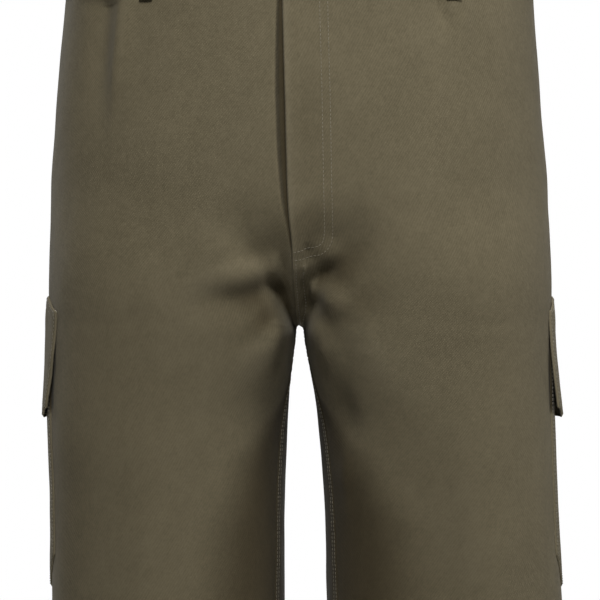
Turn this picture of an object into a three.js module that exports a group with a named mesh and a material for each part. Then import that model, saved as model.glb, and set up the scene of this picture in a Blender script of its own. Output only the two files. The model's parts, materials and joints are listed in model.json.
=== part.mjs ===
// Knee-length cargo shorts in cotton twill, in the hollow, filled-out form of a worn pair.
// Millimetres. +X is the wearer's left, the front faces -Y, +Z is up, and the origin is the
// centre of the waist opening at the waistband's top edge.
//
// The outer skin of each half is a set of level sections. Above the crotch a section is a
// quarter of the trunk's oval, below it the section is the leg's own closed oval, and near the
// crotch the one turns into the other along the curve of the crotch seam. Every piece of cloth
// is a wall made from points of that skin, moved in or out along its normals.
import * as THREE from "three";

// Heights
const BAND_HEIGHT = 42;
const CROTCH_Z = -298.5;
const HEM_Z = -575;
const HEM_FOLD = 25;

// Cloth
const WALL = 1.6;
const HEM_WALL = 3;
const BAND_WALL = 3;
const BAND_PROUD = 0.8;
const SEAM_GAP = 0.3;
const FACET_ROOM = 0.6;

// Seams, as distances round the leg
const SIDE_SEAM_BEHIND = 15;
const INSEAM_AHEAD = 32;

// Fly: the left front laps over the right one
const FLY_END_Z = -243;
const FLY_TAPER = 20;
const UNDERLAP = 12;
const LAP_DIP = 2.6;
const BAND_UNDERLAP = 35;
const BAND_DIP = 3.5;
const ZIP_TOP_Z = -60;
const ZIP_BOTTOM_Z = -224;
const ZIP_WIDTH = 24;
const ZIP_TAPE = 0.8;
const ZIP_CHAIN_WIDTH = 5;
const ZIP_CHAIN = 2.2;
const SLIDER_THICK = 1.6;

// Button and belt loops
const BUTTON_RADIUS = 8.5;
const BUTTON_THICK = 3;
const BUTTON_FROM_EDGE = 16;
const LOOP_WIDTH = 11;
const LOOP_WALL = 1.8;
const LOOP_END_Z = -53.5;
const LOOP_ROOM = 2.4;

// Cargo pockets and flaps, round the side of each leg
const POCKET = { front: 33, back: -130, top: -301, bottom: -501, mitre: 27, wall: 1.4, crown: 0.6 };
const FLAP = { front: 36, back: -134, top: -276, bottom: -370, slope: 30, drop: 11, lift: 8, wall: 1.4 };
const FLAP_FLARE = { right: 3.4, left: 5.9 };

// Colours
const TWILL = { color: 0x665f4b, roughness: 0.92, metalness: 0 };
const TWILL_DARK = { color: 0x5b5543, roughness: 0.92, metalness: 0 };
const HORN = { color: 0x4a4234, roughness: 0.45, metalness: 0 };
const BRASS = { color: 0x7d7158, roughness: 0.4, metalness: 0.9 };

// Level sections. right and left: half widths to the outer skin; innerRight and innerLeft: from
// the middle to the legs' inner skin; front and back: how far the skin reaches each way.
const SECTIONS = [
  { z: 0, right: 178, left: 178, innerRight: 3.3, innerLeft: 3.3, front: -112, back: 120 },
  { z: -45, right: 182.6, left: 181.8, innerRight: 3.3, innerLeft: 3.3, front: -117, back: 127 },
  { z: -123, right: 189.4, left: 187.6, innerRight: 3.3, innerLeft: 3.3, front: -124, back: 139 },
  { z: -201, right: 193.3, left: 193, innerRight: 3.3, innerLeft: 3.3, front: -127, back: 142 },
  { z: -262, right: 195.6, left: 195.8, innerRight: 3.3, innerLeft: 3.3, front: -122, back: 131 },
  { z: -299, right: 194.4, left: 195.2, innerRight: 3.4, innerLeft: 3.3, front: -117, back: 112 },
  { z: -326, right: 194.1, left: 195, innerRight: 6.2, innerLeft: 7.1, front: -113, back: 101 },
  { z: -372, right: 194.1, left: 195.7, innerRight: 9.4, innerLeft: 14, front: -108, back: 88 },
  { z: -435, right: 192.3, left: 198.2, innerRight: 11.5, innerLeft: 18.9, front: -102, back: 77 },
  { z: -513, right: 191.8, left: 202.6, innerRight: 11.7, innerLeft: 21, front: -98, back: 69 },
  { z: HEM_Z, right: 191.6, left: 204.6, innerRight: 11.7, innerLeft: 21.6, front: -96, back: 64 },
];

// The fly's edge, and the seam below it, swing a little to the wearer's right
const CENTRE_LINE = [
  { z: 0, x: -14 },
  { z: -56, x: -13.4 },
  { z: -141, x: -11.2 },
  { z: -184, x: -10.1 },
  { z: -216, x: -8.9 },
  { z: -242, x: -6.9 },
  { z: -287, x: -7 },
];

// Ovals: how square each one is
const TRUNK_FRONT_POWER = 2.35;
const TRUNK_BACK_POWER = 2.45;
const LEG_POWER = 2.25;
const CROTCH_SQUARENESS = 3;
const SQUARENESS_FADE = 40;

// The crotch seam's curve: how far above the crotch it starts to turn under, and how fast
const FRONT_RISE = { height: 110, power: 2.1 };
const BACK_RISE = { height: 130, power: 1.9 };
const SEAM_PULL = 5;
const TURN_FILL = 0.035;
const GAP_ROUND = 3;

// Folds. Each runs from (a, za) by (b, zb) to (c, zc), where a, b and c are x on the front and
// back and y on the sides. wide is its half width, deep is how far it stands out, or in when
// negative, and rise and fade are the shares of its length over which it starts and ends.
const FOLD_TABLE = ["a", "za", "b", "zb", "c", "zc", "wide", "deep", "rise", "fade"];
const FRONT_FOLDS = [
  // below the fly's end
  [3, -252, 14, -259, 33, -262, 11, -2.2, 0.2, 0.7],
  [25, -254, 45, -238, 66, -213, 22, -3.6, 0.4, 0.5],
  [6, -243, 22, -244, 34, -240, 8, 1.8, 0.3, 0.5],
  // across the right thigh, out from the crotch
  [-76, -269, -42, -263, -12, -255, 12, 3.2, 0.5, 0.1],
  [-100, -284, -41, -277, -10, -266, 13, -3.4, 0.5, 0.3],
  [-72, -298, -32, -293, -10, -278, 9, 2.4, 0.5, 0.1],
  [-52, -312, -28, -295, -13, -283, 11, -2.8, 0.5, 0.3],
  [-9, -288, -19, -301, -28, -324, 9, 3, 0.2, 0.5],
  // across the left thigh, out from the crotch
  [6, -271, 27, -283, 62, -326, 12, 3.8, 0.2, 0.5],
  [8, -277, 20, -292, 28, -313, 7, -3.4, 0.2, 0.4],
  [3, -288, 8, -309, 19, -328, 7, 2.8, 0.2, 0.4],
  [27, -350, 33, -372, 40, -396, 14, -3, 0.4, 0.5],
  [30, -398, 34, -412, 36, -430, 10, 2, 0.4, 0.5],
  // pleats let in at the waistband
  [-136, -46, -137, -96, -144, -156, 11, 4.4, 0.02, 0.5],
  [-147, -46, -151, -90, -157, -140, 10, -3.2, 0.02, 0.5],
  [105, -46, 106, -62, 109, -92, 10, -2.8, 0.02, 0.6],
  [117, -46, 120, -68, 124, -104, 10, 3, 0.02, 0.6],
  // long soft folds down the legs
  [-118, -330, -124, -440, -122, -562, 24, 2.4, 0.4, 0.1],
  [-62, -380, -66, -470, -64, -570, 22, -2.4, 0.4, 0.1],
  [84, -350, 92, -450, 98, -566, 22, -2.2, 0.4, 0.1],
  [134, -340, 142, -440, 146, -566, 24, 2.6, 0.4, 0.1],
];
// From the crotch out under the seat, then down the legs
const BACK_FOLDS = [
  [-8, -268, -48, -284, -112, -276, 14, -4, 0.1, 0.5],
  [-10, -284, -40, -304, -92, -306, 12, 3.6, 0.1, 0.5],
  [-14, -296, -34, -322, -76, -338, 12, -3.6, 0.1, 0.5],
  [8, -264, 46, -278, 104, -266, 14, -4.2, 0.1, 0.5],
  [10, -281, 42, -298, 98, -296, 12, 3.4, 0.1, 0.5],
  [16, -296, 38, -318, 84, -330, 12, -3.4, 0.1, 0.5],
  [0, -120, 0, -180, 0, -262, 34, -5, 0.4, 0.2],
  [-96, -340, -104, -450, -102, -566, 26, 3.2, 0.4, 0.1],
  [-46, -370, -52, -460, -50, -566, 20, -2.8, 0.4, 0.1],
  [70, -345, 78, -450, 84, -566, 24, -3, 0.4, 0.1],
  [122, -350, 130, -450, 134, -566, 24, 3, 0.4, 0.1],
];
// A drag from each hip to its flap
const RIGHT_FOLDS = [
  [-20, -150, 10, -190, 46, -250, 22, 1.6, 0.5, 0.5],
];
const LEFT_FOLDS = [
  [-16, -140, 14, -186, 50, -248, 22, 1.6, 0.5, 0.5],
];
const FOLD_STEPS = 10;
const FOLD_SPREAD = 1.5;
const FACING_FROM = 0.15;
const FACING_GAIN = 1.6;

// Heights of the panels' rows, close together where the cloth turns under at the crotch
const ROWS_ABOVE = [-58, -78, -100, -124, -148, -172, -196, -214, -229, -243, -255, -265, -274];
const ROWS_AT_CROTCH = [-281.5, -287.5, -292, -295.5, -297.6, CROTCH_Z, -299.4, -301, -304.5, -310];
const ROWS_BELOW = [-318, -329, -343, -360, -380, -402, -426, -450, -474, -501, -519, -536];
const HEM_ROWS = [HEM_Z + HEM_FOLD + 0.8, HEM_Z + HEM_FOLD - 0.8, HEM_Z + HEM_FOLD / 2, HEM_Z];

// Columns of the panels: fixed distances round the side, where the pockets lie, then even steps
const FRONT_SIDE_COLUMNS = [0, 16, POCKET.front];
const BACK_SIDE_COLUMNS = [-33, -52, -71, -90, -110, POCKET.back];
const FRONT_STEPS = 13;
const BACK_STEPS = 8;

const SECTION_STEPS = 150;
const SLOPE_STEP = 0.5;
const AROUND_STEP = 1.5;

const clamp = (value, low, high) => Math.min(Math.max(value, low), high);
const mix = (a, b, t) => a + (b - a) * t;

function ease(t) {
  const c = clamp(t, 0, 1);
  return c * c * (3 - 2 * c);
}

// A smooth curve through one column of a table, by height
function fromTable(table, key, z) {
  const last = table.length - 1;
  let i = 0;
  while (i < last - 1 && z < table[i + 1].z) i += 1;
  const slope = (j) => {
    const before = table[Math.max(j - 1, 0)];
    const after = table[Math.min(j + 1, last)];
    return (after[key] - before[key]) / (after.z - before.z);
  };
  const span = table[i + 1].z - table[i].z;
  const t = clamp((z - table[i].z) / span, 0, 1);
  const t2 = t * t;
  const t3 = t2 * t;
  return (
    (2 * t3 - 3 * t2 + 1) * table[i][key] +
    (t3 - 2 * t2 + t) * span * slope(i) +
    (3 * t2 - 2 * t3) * table[i + 1][key] +
    (t3 - t2) * span * slope(i + 1)
  );
}

const centreLine = (z) => fromTable(CENTRE_LINE, "x", z);

function ovalPoint(angle, power) {
  const c = Math.cos(angle);
  const s = Math.sin(angle);
  const along = Math.sign(c) * Math.abs(c) ** (2 / power);
  const across = Math.sign(s) * Math.abs(s) ** (2 / power);
  return [along, across];
}

// The same polyline with its points evenly spaced, and its length
function evenly(points) {
  const reach = [0];
  for (let i = 1; i < points.length; i += 1) {
    const dx = points[i][0] - points[i - 1][0];
    const dy = points[i][1] - points[i - 1][1];
    reach.push(reach[i - 1] + Math.hypot(dx, dy));
  }
  const length = reach[points.length - 1];
  const even = [];
  let i = 0;
  for (let step = 0; step <= SECTION_STEPS; step += 1) {
    const wanted = (length * step) / SECTION_STEPS;
    while (i < points.length - 2 && reach[i + 1] < wanted) i += 1;
    const t = (wanted - reach[i]) / (reach[i + 1] - reach[i] || 1);
    even.push([mix(points[i][0], points[i + 1][0], t), mix(points[i][1], points[i + 1][1], t)]);
  }
  return { points: even, length };
}

// How far the section has turned from trunk (0) to leg (1): along the crotch seam's curve at the
// seam itself, and smoothly over the same height further round
function legShare(z, rise, round = 1) {
  const h = clamp((z - CROTCH_Z) / rise.height, 0, 1);
  const atSeam = 1 - (1 - (1 - h) ** rise.power) ** (1 / rise.power);
  return mix(ease(1 - h), atSeam, round ** SEAM_PULL);
}

// The gap between the legs opens from the crotch point with a small round top
function gapShare(below, fromInseam) {
  const near = Math.min(Math.hypot(below, fromInseam) / GAP_ROUND, 1);
  return Math.sqrt(1 - (1 - near) ** 2);
}

// Half of one side's section, from the side line round to the centre or the inseam
function halfSection(sideName, z, facing) {
  const side = sideName === "right" ? -1 : 1;
  const outer = fromTable(SECTIONS, sideName, z);
  const inner = fromTable(SECTIONS, sideName === "right" ? "innerRight" : "innerLeft", z);
  const front = fromTable(SECTIONS, "front", z);
  const back = fromTable(SECTIONS, "back", z);
  const middle = (front + back) / 2;
  const depth = (back - front) / 2;
  const below = Math.max(CROTCH_Z - z, 0);
  const innerPower = LEG_POWER + CROTCH_SQUARENESS * Math.exp(-((below / SQUARENESS_FADE) ** 2));
  const rise = facing === "front" ? FRONT_RISE : BACK_RISE;
  const trunkPower = facing === "front" ? TRUNK_FRONT_POWER : TRUNK_BACK_POWER;
  const towards = facing === "front" ? -1 : 1;

  const seamX = facing === "front" ? centreLine(z) : 0;
  const seamShare = (side * seamX) / outer;
  const trunkEnd = Math.acos(Math.sign(seamShare) * Math.abs(seamShare) ** (trunkPower / 2));
  const inseam = Math.asin((INSEAM_AHEAD / depth) ** (innerPower / 2));
  const legEnd = facing === "front" ? Math.PI - inseam : Math.PI + inseam;
  const centre = (outer + inner) / 2;

  const trunk = [];
  const leg = [];
  for (let i = 0; i <= SECTION_STEPS; i += 1) {
    const t = i / SECTION_STEPS;
    const [tx, ty] = ovalPoint(t * trunkEnd, trunkPower);
    trunk.push([side * outer * tx, middle + towards * depth * ty]);
    const angle = t * legEnd;
    const [lx, ly] = ovalPoint(angle, Math.cos(angle) > 0 ? LEG_POWER : innerPower);
    const y = middle + towards * depth * ly;
    const gap = inner * gapShare(below, y - middle + INSEAM_AHEAD);
    leg.push([side * (centre + (lx > 0 ? outer - centre : centre - gap) * lx), y]);
  }
  const evenTrunk = evenly(trunk).points;
  const evenLeg = evenly(leg).points;
  const turned = evenTrunk.map(([x, y], i) => {
    const share = legShare(z, rise, i / SECTION_STEPS);
    return [mix(x, evenLeg[i][0], share), mix(y, evenLeg[i][1], share)];
  });
  const filled = 1 + TURN_FILL * Math.sin(Math.PI * legShare(z, rise, 0));
  return evenly(turned.map(([x, y]) => [x, middle + (y - middle) * filled]));
}

const sectionStore = new Map();
function section(sideName, z, facing) {
  const key = `${sideName} ${z.toFixed(4)} ${facing}`;
  if (!sectionStore.has(key)) sectionStore.set(key, halfSection(sideName, z, facing));
  return sectionStore.get(key);
}

// A point of the skin: around is the distance from the side line, ahead of it when positive
function skinPoint(sideName, z, around) {
  const { points, length } = section(sideName, z, around >= 0 ? "front" : "back");
  const t = clamp(Math.abs(around) / length, 0, 1) * SECTION_STEPS;
  const i = Math.min(Math.floor(t), SECTION_STEPS - 1);
  const x = mix(points[i][0], points[i + 1][0], t - i);
  const y = mix(points[i][1], points[i + 1][1], t - i);
  return new THREE.Vector3(x, y, z);
}

function skinNormal(sideName, z, around) {
  const facing = around >= 0 ? "front" : "back";
  const reach = section(sideName, z, facing).length;
  const share = around / reach;
  const [least, most] = facing === "front" ? [-Infinity, reach] : [-reach, Infinity];
  const ahead = skinPoint(sideName, z, Math.min(around + AROUND_STEP, most));
  const behind = skinPoint(sideName, z, Math.max(around - AROUND_STEP, least));
  const round = ahead.sub(behind);
  const here = skinPoint(sideName, z, around);
  const normal = new THREE.Vector3();
  for (const step of [SLOPE_STEP, -SLOPE_STEP]) {
    const z2 = z + step;
    const other = skinPoint(sideName, z2, share * section(sideName, z2, facing).length);
    const rise = other.sub(here).multiplyScalar(Math.sign(step));
    const across = new THREE.Vector3().crossVectors(round, rise).normalize();
    normal.add(across);
  }
  normal.normalize();
  return sideName === "right" ? normal : normal.negate();
}

// Each fold as an object of its named columns, with its line as short straight steps
function foldLine(face, row) {
  const fold = { face, steps: [] };
  FOLD_TABLE.forEach((column, i) => {
    fold[column] = row[i];
  });
  const bowA = 2 * fold.b - (fold.a + fold.c) / 2;
  const bowZ = 2 * fold.zb - (fold.za + fold.zc) / 2;
  for (let i = 0; i <= FOLD_STEPS; i += 1) {
    const t = i / FOLD_STEPS;
    const [start, bow, end] = [(1 - t) * (1 - t), 2 * t * (1 - t), t * t];
    fold.steps.push([
      start * fold.a + bow * bowA + end * fold.c,
      start * fold.za + bow * bowZ + end * fold.zc,
    ]);
  }
  return fold;
}

const foldLines = [
  ...FRONT_FOLDS.map((row) => foldLine("front", row)),
  ...BACK_FOLDS.map((row) => foldLine("back", row)),
  ...RIGHT_FOLDS.map((row) => foldLine("right", row)),
  ...LEFT_FOLDS.map((row) => foldLine("left", row)),
];

function foldHeight(fold, a, z) {
  let nearest = Infinity;
  let place = 0;
  for (let i = 0; i < FOLD_STEPS; i += 1) {
    const [a0, z0] = fold.steps[i];
    const [a1, z1] = fold.steps[i + 1];
    const da = a1 - a0;
    const dz = z1 - z0;
    const t = clamp(((a - a0) * da + (z - z0) * dz) / (da * da + dz * dz), 0, 1);
    const distance = Math.hypot(a - a0 - t * da, z - z0 - t * dz);
    if (distance < nearest) {
      nearest = distance;
      place = (i + t) / FOLD_STEPS;
    }
  }
  const q = nearest / (fold.wide * FOLD_SPREAD);
  if (q >= 1) return 0;
  return fold.deep * (1 - q * q) ** 2 * ease(place / fold.rise) * ease((1 - place) / fold.fade);
}

// How far the folds push the skin out at a point that faces along the normal
function foldPush(sideName, point, normal) {
  const facing = {
    front: -normal.y,
    back: normal.y,
    right: sideName === "right" ? -normal.x : 0,
    left: sideName === "left" ? normal.x : 0,
  };
  let push = 0;
  for (const fold of foldLines) {
    const weight = clamp((facing[fold.face] - FACING_FROM) * FACING_GAIN, 0, 1);
    if (weight <= 0) continue;
    const a = fold.face === "front" || fold.face === "back" ? point.x : point.y;
    push += weight * foldHeight(fold, a, point.z);
  }
  return push;
}

// The skin with its folds, as a point and its normal
function cloth(sideName, z, around) {
  const point = skinPoint(sideName, z, around);
  const normal = skinNormal(sideName, z, around);
  point.addScaledVector(normal, foldPush(sideName, point, normal));
  return { point, normal };
}

// A closed wall from a grid of outer and inner points
function wall(grid) {
  const rows = grid.length;
  const columns = grid[0].length;
  const positions = [];
  const index = [];
  for (const layer of ["outer", "inner"]) {
    for (const row of grid) {
      for (const place of row) positions.push(place[layer].x, place[layer].y, place[layer].z);
    }
  }
  const at = (i, j, layer) => layer * rows * columns + i * columns + j;
  const quad = (a, b, c, d) => index.push(a, b, c, a, c, d);
  for (let i = 0; i < rows - 1; i += 1) {
    for (let j = 0; j < columns - 1; j += 1) {
      quad(at(i, j, 0), at(i + 1, j, 0), at(i + 1, j + 1, 0), at(i, j + 1, 0));
      quad(at(i, j, 1), at(i, j + 1, 1), at(i + 1, j + 1, 1), at(i + 1, j, 1));
    }
  }
  for (let j = 0; j < columns - 1; j += 1) {
    quad(at(0, j, 0), at(0, j + 1, 0), at(0, j + 1, 1), at(0, j, 1));
    quad(at(rows - 1, j, 0), at(rows - 1, j, 1), at(rows - 1, j + 1, 1), at(rows - 1, j + 1, 0));
  }
  const end = columns - 1;
  for (let i = 0; i < rows - 1; i += 1) {
    quad(at(i, 0, 0), at(i, 0, 1), at(i + 1, 0, 1), at(i + 1, 0, 0));
    quad(at(i, end, 0), at(i + 1, end, 0), at(i + 1, end, 1), at(i, end, 1));
  }
  if (signedVolume(positions, index) < 0) {
    for (let i = 0; i < index.length; i += 3) [index[i + 1], index[i + 2]] = [index[i + 2], index[i + 1]];
  }
  const geometry = new THREE.BufferGeometry();
  geometry.setAttribute("position", new THREE.Float32BufferAttribute(positions, 3));
  geometry.setIndex(index);
  geometry.computeVertexNormals();
  return geometry;
}

function signedVolume(positions, index) {
  const corner = (i) => new THREE.Vector3(positions[3 * i], positions[3 * i + 1], positions[3 * i + 2]);
  let volume = 0;
  for (let i = 0; i < index.length; i += 3) {
    volume += corner(index[i]).dot(corner(index[i + 1]).cross(corner(index[i + 2])));
  }
  return volume;
}

// A place on a wall: the outer point moved out by offset, and the inner one a wall behind it
function place(point, normal, offset, thick) {
  return {
    outer: point.clone().addScaledVector(normal, offset),
    inner: point.clone().addScaledVector(normal, offset - thick),
  };
}

const PANEL_TOP_Z = -BAND_HEIGHT - SEAM_GAP;
const PANEL_ROWS = [PANEL_TOP_Z, ...ROWS_ABOVE, ...ROWS_AT_CROTCH, ...ROWS_BELOW, ...HEM_ROWS];

const panelWall = (z) => (z < HEM_Z + HEM_FOLD ? HEM_WALL : WALL);

// A normal kept level at the panels' cut edges, so that the edges stay plane
function levelled(normal, z) {
  if (z === PANEL_TOP_Z || z === HEM_Z || z === 0) normal.setZ(0).normalize();
  return normal;
}

function seamEdge(sideName, facing, z) {
  const side = sideName === "right" ? -1 : 1;
  const reach = section(sideName, z, facing).length;
  const { point, normal } = cloth(sideName, z, facing === "front" ? reach : -reach);
  if (z >= CROTCH_Z) {
    const share = legShare(z, facing === "front" ? FRONT_RISE : BACK_RISE);
    const seamX = facing === "front" ? centreLine(z) * (1 - share) : 0;
    point.setX(seamX + (side * SEAM_GAP) / 2);
  }
  if (z > CROTCH_Z) normal.setX(0).normalize();
  if (z === CROTCH_Z) normal.setY(0).normalize();
  return { point, normal: levelled(normal, z) };
}

// One panel: its columns run from the side seam to the centre seam or the inseam
function panelGrid(sideName, facing) {
  const towards = facing === "front" ? 1 : -1;
  const fixed = facing === "front" ? FRONT_SIDE_COLUMNS : BACK_SIDE_COLUMNS;
  const steps = facing === "front" ? FRONT_STEPS : BACK_STEPS;
  return PANEL_ROWS.map((z) => {
    const end = towards * (section(sideName, z, facing).length - SEAM_GAP / 2);
    const distances = [-SIDE_SEAM_BEHIND + (towards * SEAM_GAP) / 2, ...fixed];
    for (let j = 1; j < steps; j += 1) distances.push(mix(fixed[fixed.length - 1], end, j / steps));
    const places = distances.map((around) => cloth(sideName, z, around));
    places.push(z >= CROTCH_Z ? seamEdge(sideName, facing, z) : cloth(sideName, z, end));
    return places.map(({ point, normal }) => place(point, levelled(normal, z), 0, panelWall(z)));
  });
}

// How far the right front runs on under the lap, and how deep it is pressed there
const underlap = (z) => UNDERLAP * ease((z - FLY_END_Z) / FLY_TAPER);
const LAP_DIP_BELOW = 12;
const LAP_DIP_RUN = 10;
const lapDip = (z) => LAP_DIP * ease((z - FLY_END_Z + LAP_DIP_BELOW) / LAP_DIP_RUN);

// Columns of the right front beside the fly, as distances from the lap's edge
const LAP_COLUMNS = [-26, -10, -1.8];
const PRESS_START = -9;
const PRESS_END = -2;

// The right front is pressed in beside the lap's edge and runs on behind the left front
function frontRightGrid() {
  return panelGrid("right", "front").map((row, i) => {
    const z = PANEL_ROWS[i];
    const reach = section("right", z, "front").length;
    const kept = row.slice(0, -LAP_COLUMNS.length);
    for (const from of LAP_COLUMNS) {
      const { point, normal } = cloth("right", z, reach + from);
      const dip = lapDip(z) * ease((from - PRESS_START) / (PRESS_END - PRESS_START));
      kept.push(place(point, levelled(normal, z), -dip, panelWall(z)));
    }
    const last = underlap(z) > 0
      ? cloth("left", z, section("left", z, "front").length - underlap(z))
      : z >= CROTCH_Z
        ? seamEdge("right", "front", z)
        : cloth("right", z, reach - SEAM_GAP / 2);
    kept.push(place(last.point, levelled(last.normal, z), -lapDip(z), panelWall(z)));
    return kept;
  });
}

const BAND_ROWS = [0, -14, -28, -BAND_HEIGHT];
const BAND_COLUMNS = 30;

// The right band is pressed in beside the left one's edge: from and to, as distances from it
const BAND_PRESS_FROM = 16;
const BAND_PRESS_TO = 3;

function bandGrid(sideName) {
  return BAND_ROWS.map((z) => {
    const backReach = section(sideName, z, "back").length;
    const frontReach = section(sideName, z, "front").length;
    const row = [];
    const back = seamEdge(sideName, "back", z);
    row.push(place(back.point, back.normal.setZ(0).normalize(), BAND_PROUD, BAND_WALL));
    const end = sideName === "right" ? frontReach - BAND_PRESS_FROM : frontReach;
    for (let j = 1; j < BAND_COLUMNS; j += 1) {
      const around = mix(-backReach, end, j / BAND_COLUMNS);
      const { point, normal } = cloth(sideName, z, around);
      row.push(place(point, normal.setZ(0).normalize(), BAND_PROUD, BAND_WALL));
    }
    const edge = seamEdge(sideName, "front", z);
    edge.normal.setZ(0).normalize();
    if (sideName === "left") {
      row.push(place(edge.point, edge.normal, BAND_PROUD, BAND_WALL));
      return row;
    }
    const pressed = [[-BAND_PRESS_FROM, 0], [-BAND_PRESS_TO, BAND_DIP], [BAND_UNDERLAP, BAND_DIP]];
    for (const [from, dip] of pressed) {
      const point = edge.point.clone();
      point.x += from;
      row.push(place(point, edge.normal, BAND_PROUD - dip, BAND_WALL));
    }
    return row;
  });
}

// A loop lies on the panel at its foot, stands off the waistband, and turns in at the top
const LOOP_PROFILE = [
  { z: LOOP_END_Z, off: SEAM_GAP + FACET_ROOM },
  { z: -48, off: SEAM_GAP + FACET_ROOM },
  { z: -43, off: BAND_PROUD + 1 },
  { z: -36, off: BAND_PROUD + SEAM_GAP + LOOP_ROOM },
  { z: -10, off: BAND_PROUD + SEAM_GAP + LOOP_ROOM },
  { z: -4, off: BAND_PROUD + 1.2 },
  { z: -1, off: BAND_PROUD + SEAM_GAP },
];

const LOOPS = [
  { name: "belt_loop_front_right", side: "right", around: 132 },
  { name: "belt_loop_front_left", side: "left", around: 132 },
  { name: "belt_loop_back_right", side: "right", around: -110 },
  { name: "belt_loop_back_left", side: "left", around: -110 },
];

// Shares of a loop's width at its columns
const LOOP_EDGE = 0.5;
const LOOP_INNER = 0.17;
const LOOP_SHARES = [-LOOP_EDGE, -LOOP_INNER, LOOP_INNER, LOOP_EDGE];

function loopGrid(places) {
  return LOOP_PROFILE.map(({ z, off }) =>
    places(z).map(({ point, normal }) => {
      const outward = normal.setZ(0).normalize();
      return place(point, outward, off + LOOP_WALL, LOOP_WALL);
    }),
  );
}

function sideLoop(sideName, around) {
  return loopGrid((z) =>
    LOOP_SHARES.map((share) => cloth(sideName, z, around + share * LOOP_WIDTH)),
  );
}

function centreBackLoop() {
  return loopGrid((z) => {
    const row = [];
    for (const share of LOOP_SHARES) {
      const sideName = share < 0 ? "right" : "left";
      row.push(cloth(sideName, z, Math.abs(share) * LOOP_WIDTH - section(sideName, z, "back").length));
    }
    return row;
  });
}

// The patch pocket: a mitred rectangle that lies on the side of the leg
const POCKET_ROWS = PANEL_ROWS.filter((z) => z <= POCKET.top && z >= POCKET.bottom);
const SIDE_COLUMNS = [POCKET.front, 16, 0, -SIDE_SEAM_BEHIND, ...BACK_SIDE_COLUMNS];
const POCKET_CROWN_FROM = 12;
const POCKET_CROWN_ROWS = 3;

function pocketGrid(sideName) {
  return POCKET_ROWS.map((level, i) =>
    SIDE_COLUMNS.map((around) => {
      const fromEdge = Math.min(POCKET.front - around, around - POCKET.back);
      const lowest = POCKET.bottom + Math.max(POCKET.mitre - fromEdge, 0);
      const z = Math.max(level, lowest - (POCKET_ROWS.length - 1 - i));
      const { point, normal } = cloth(sideName, z, around);
      const crown = POCKET.crown * ease(fromEdge / POCKET_CROWN_FROM) * ease(i / POCKET_CROWN_ROWS);
      return place(point, normal, SEAM_GAP + POCKET.wall + crown, POCKET.wall);
    }),
  );
}

// The flap: pinned along its top, and standing off the pocket towards its lower edge
const FLAP_ROWS = [FLAP.top, -287.5, CROTCH_Z, -310, -329, -343, -360, FLAP.bottom];
// The flap's front edge reaches further forward at its top than at its lower corner
const FLAP_FRONT_TOP = { right: 61, left: 40 };
const flapColumns = (front) => [front, (front + POCKET.front) / 2, ...SIDE_COLUMNS, FLAP.back];
const FLAP_CLEAR = 3;
const FLAP_RUN_ON = FLAP.top - POCKET.top - FLAP_CLEAR;

function flapGrid(sideName) {
  return FLAP_ROWS.map((level) => {
    const down = (level - FLAP.top) / (FLAP.bottom - FLAP.top);
    const front = mix(FLAP_FRONT_TOP[sideName], FLAP.front, down);
    return flapColumns(front).map((around) => {
      const fromEdge = Math.min(front - around, around - FLAP.back);
      const corner = 1 - ease(fromEdge / FLAP.slope);
      const z = level - corner * mix(FLAP.drop, -FLAP.lift, down);
      const { point, normal } = cloth(sideName, z, around);
      const overPocket = (POCKET.wall + SEAM_GAP) * ease((FLAP.top - z) / FLAP_RUN_ON);
      const overCrown = POCKET.crown * ease((POCKET.top - z) / FLAP.slope);
      const off = SEAM_GAP + FACET_ROOM + Math.max(FLAP_FLARE[sideName] * down, overPocket + overCrown);
      return place(point, normal, off + FLAP.wall, FLAP.wall);
    });
  });
}

// The zip lies behind the lap, beside the edge of the under-lap, closed
const ZIP_STEPS = 12;
const ZIP_FROM_EDGE = UNDERLAP + 1;
const ZIP_CHAIN_SLOPE = 0.6;

function zipGrid() {
  const grid = [];
  const chain = (ZIP_WIDTH - ZIP_CHAIN_WIDTH) / 2;
  const across = [
    { from: 0, thick: ZIP_TAPE },
    { from: chain - ZIP_CHAIN_SLOPE, thick: ZIP_TAPE },
    { from: chain, thick: ZIP_CHAIN },
    { from: chain + ZIP_CHAIN_WIDTH, thick: ZIP_CHAIN },
    { from: chain + ZIP_CHAIN_WIDTH + ZIP_CHAIN_SLOPE, thick: ZIP_TAPE },
    { from: ZIP_WIDTH, thick: ZIP_TAPE },
  ];
  for (let i = 0; i <= ZIP_STEPS; i += 1) {
    const z = mix(ZIP_TOP_Z, ZIP_BOTTOM_Z, i / ZIP_STEPS);
    const reach = section("left", z, "front").length;
    grid.push(
      across.map(({ from, thick }) => {
        const { point, normal } = cloth("left", z, reach - ZIP_FROM_EDGE - from);
        return place(point, normal, -WALL - SEAM_GAP - FACET_ROOM / 2, thick);
      }),
    );
  }
  return grid;
}

// The slider: a small wedge over the top of the chain
function sliderGeometry() {
  const outline = new THREE.Shape();
  outline.moveTo(-2.6, -5);
  outline.lineTo(2.6, -5);
  outline.lineTo(3.8, 3);
  outline.lineTo(1.2, 5);
  outline.lineTo(-1.2, 5);
  outline.lineTo(-3.8, 3);
  outline.closePath();
  const geometry = new THREE.ExtrudeGeometry(outline, { depth: SLIDER_THICK, bevelEnabled: false });
  geometry.rotateX(Math.PI / 2);
  return geometry;
}

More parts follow.
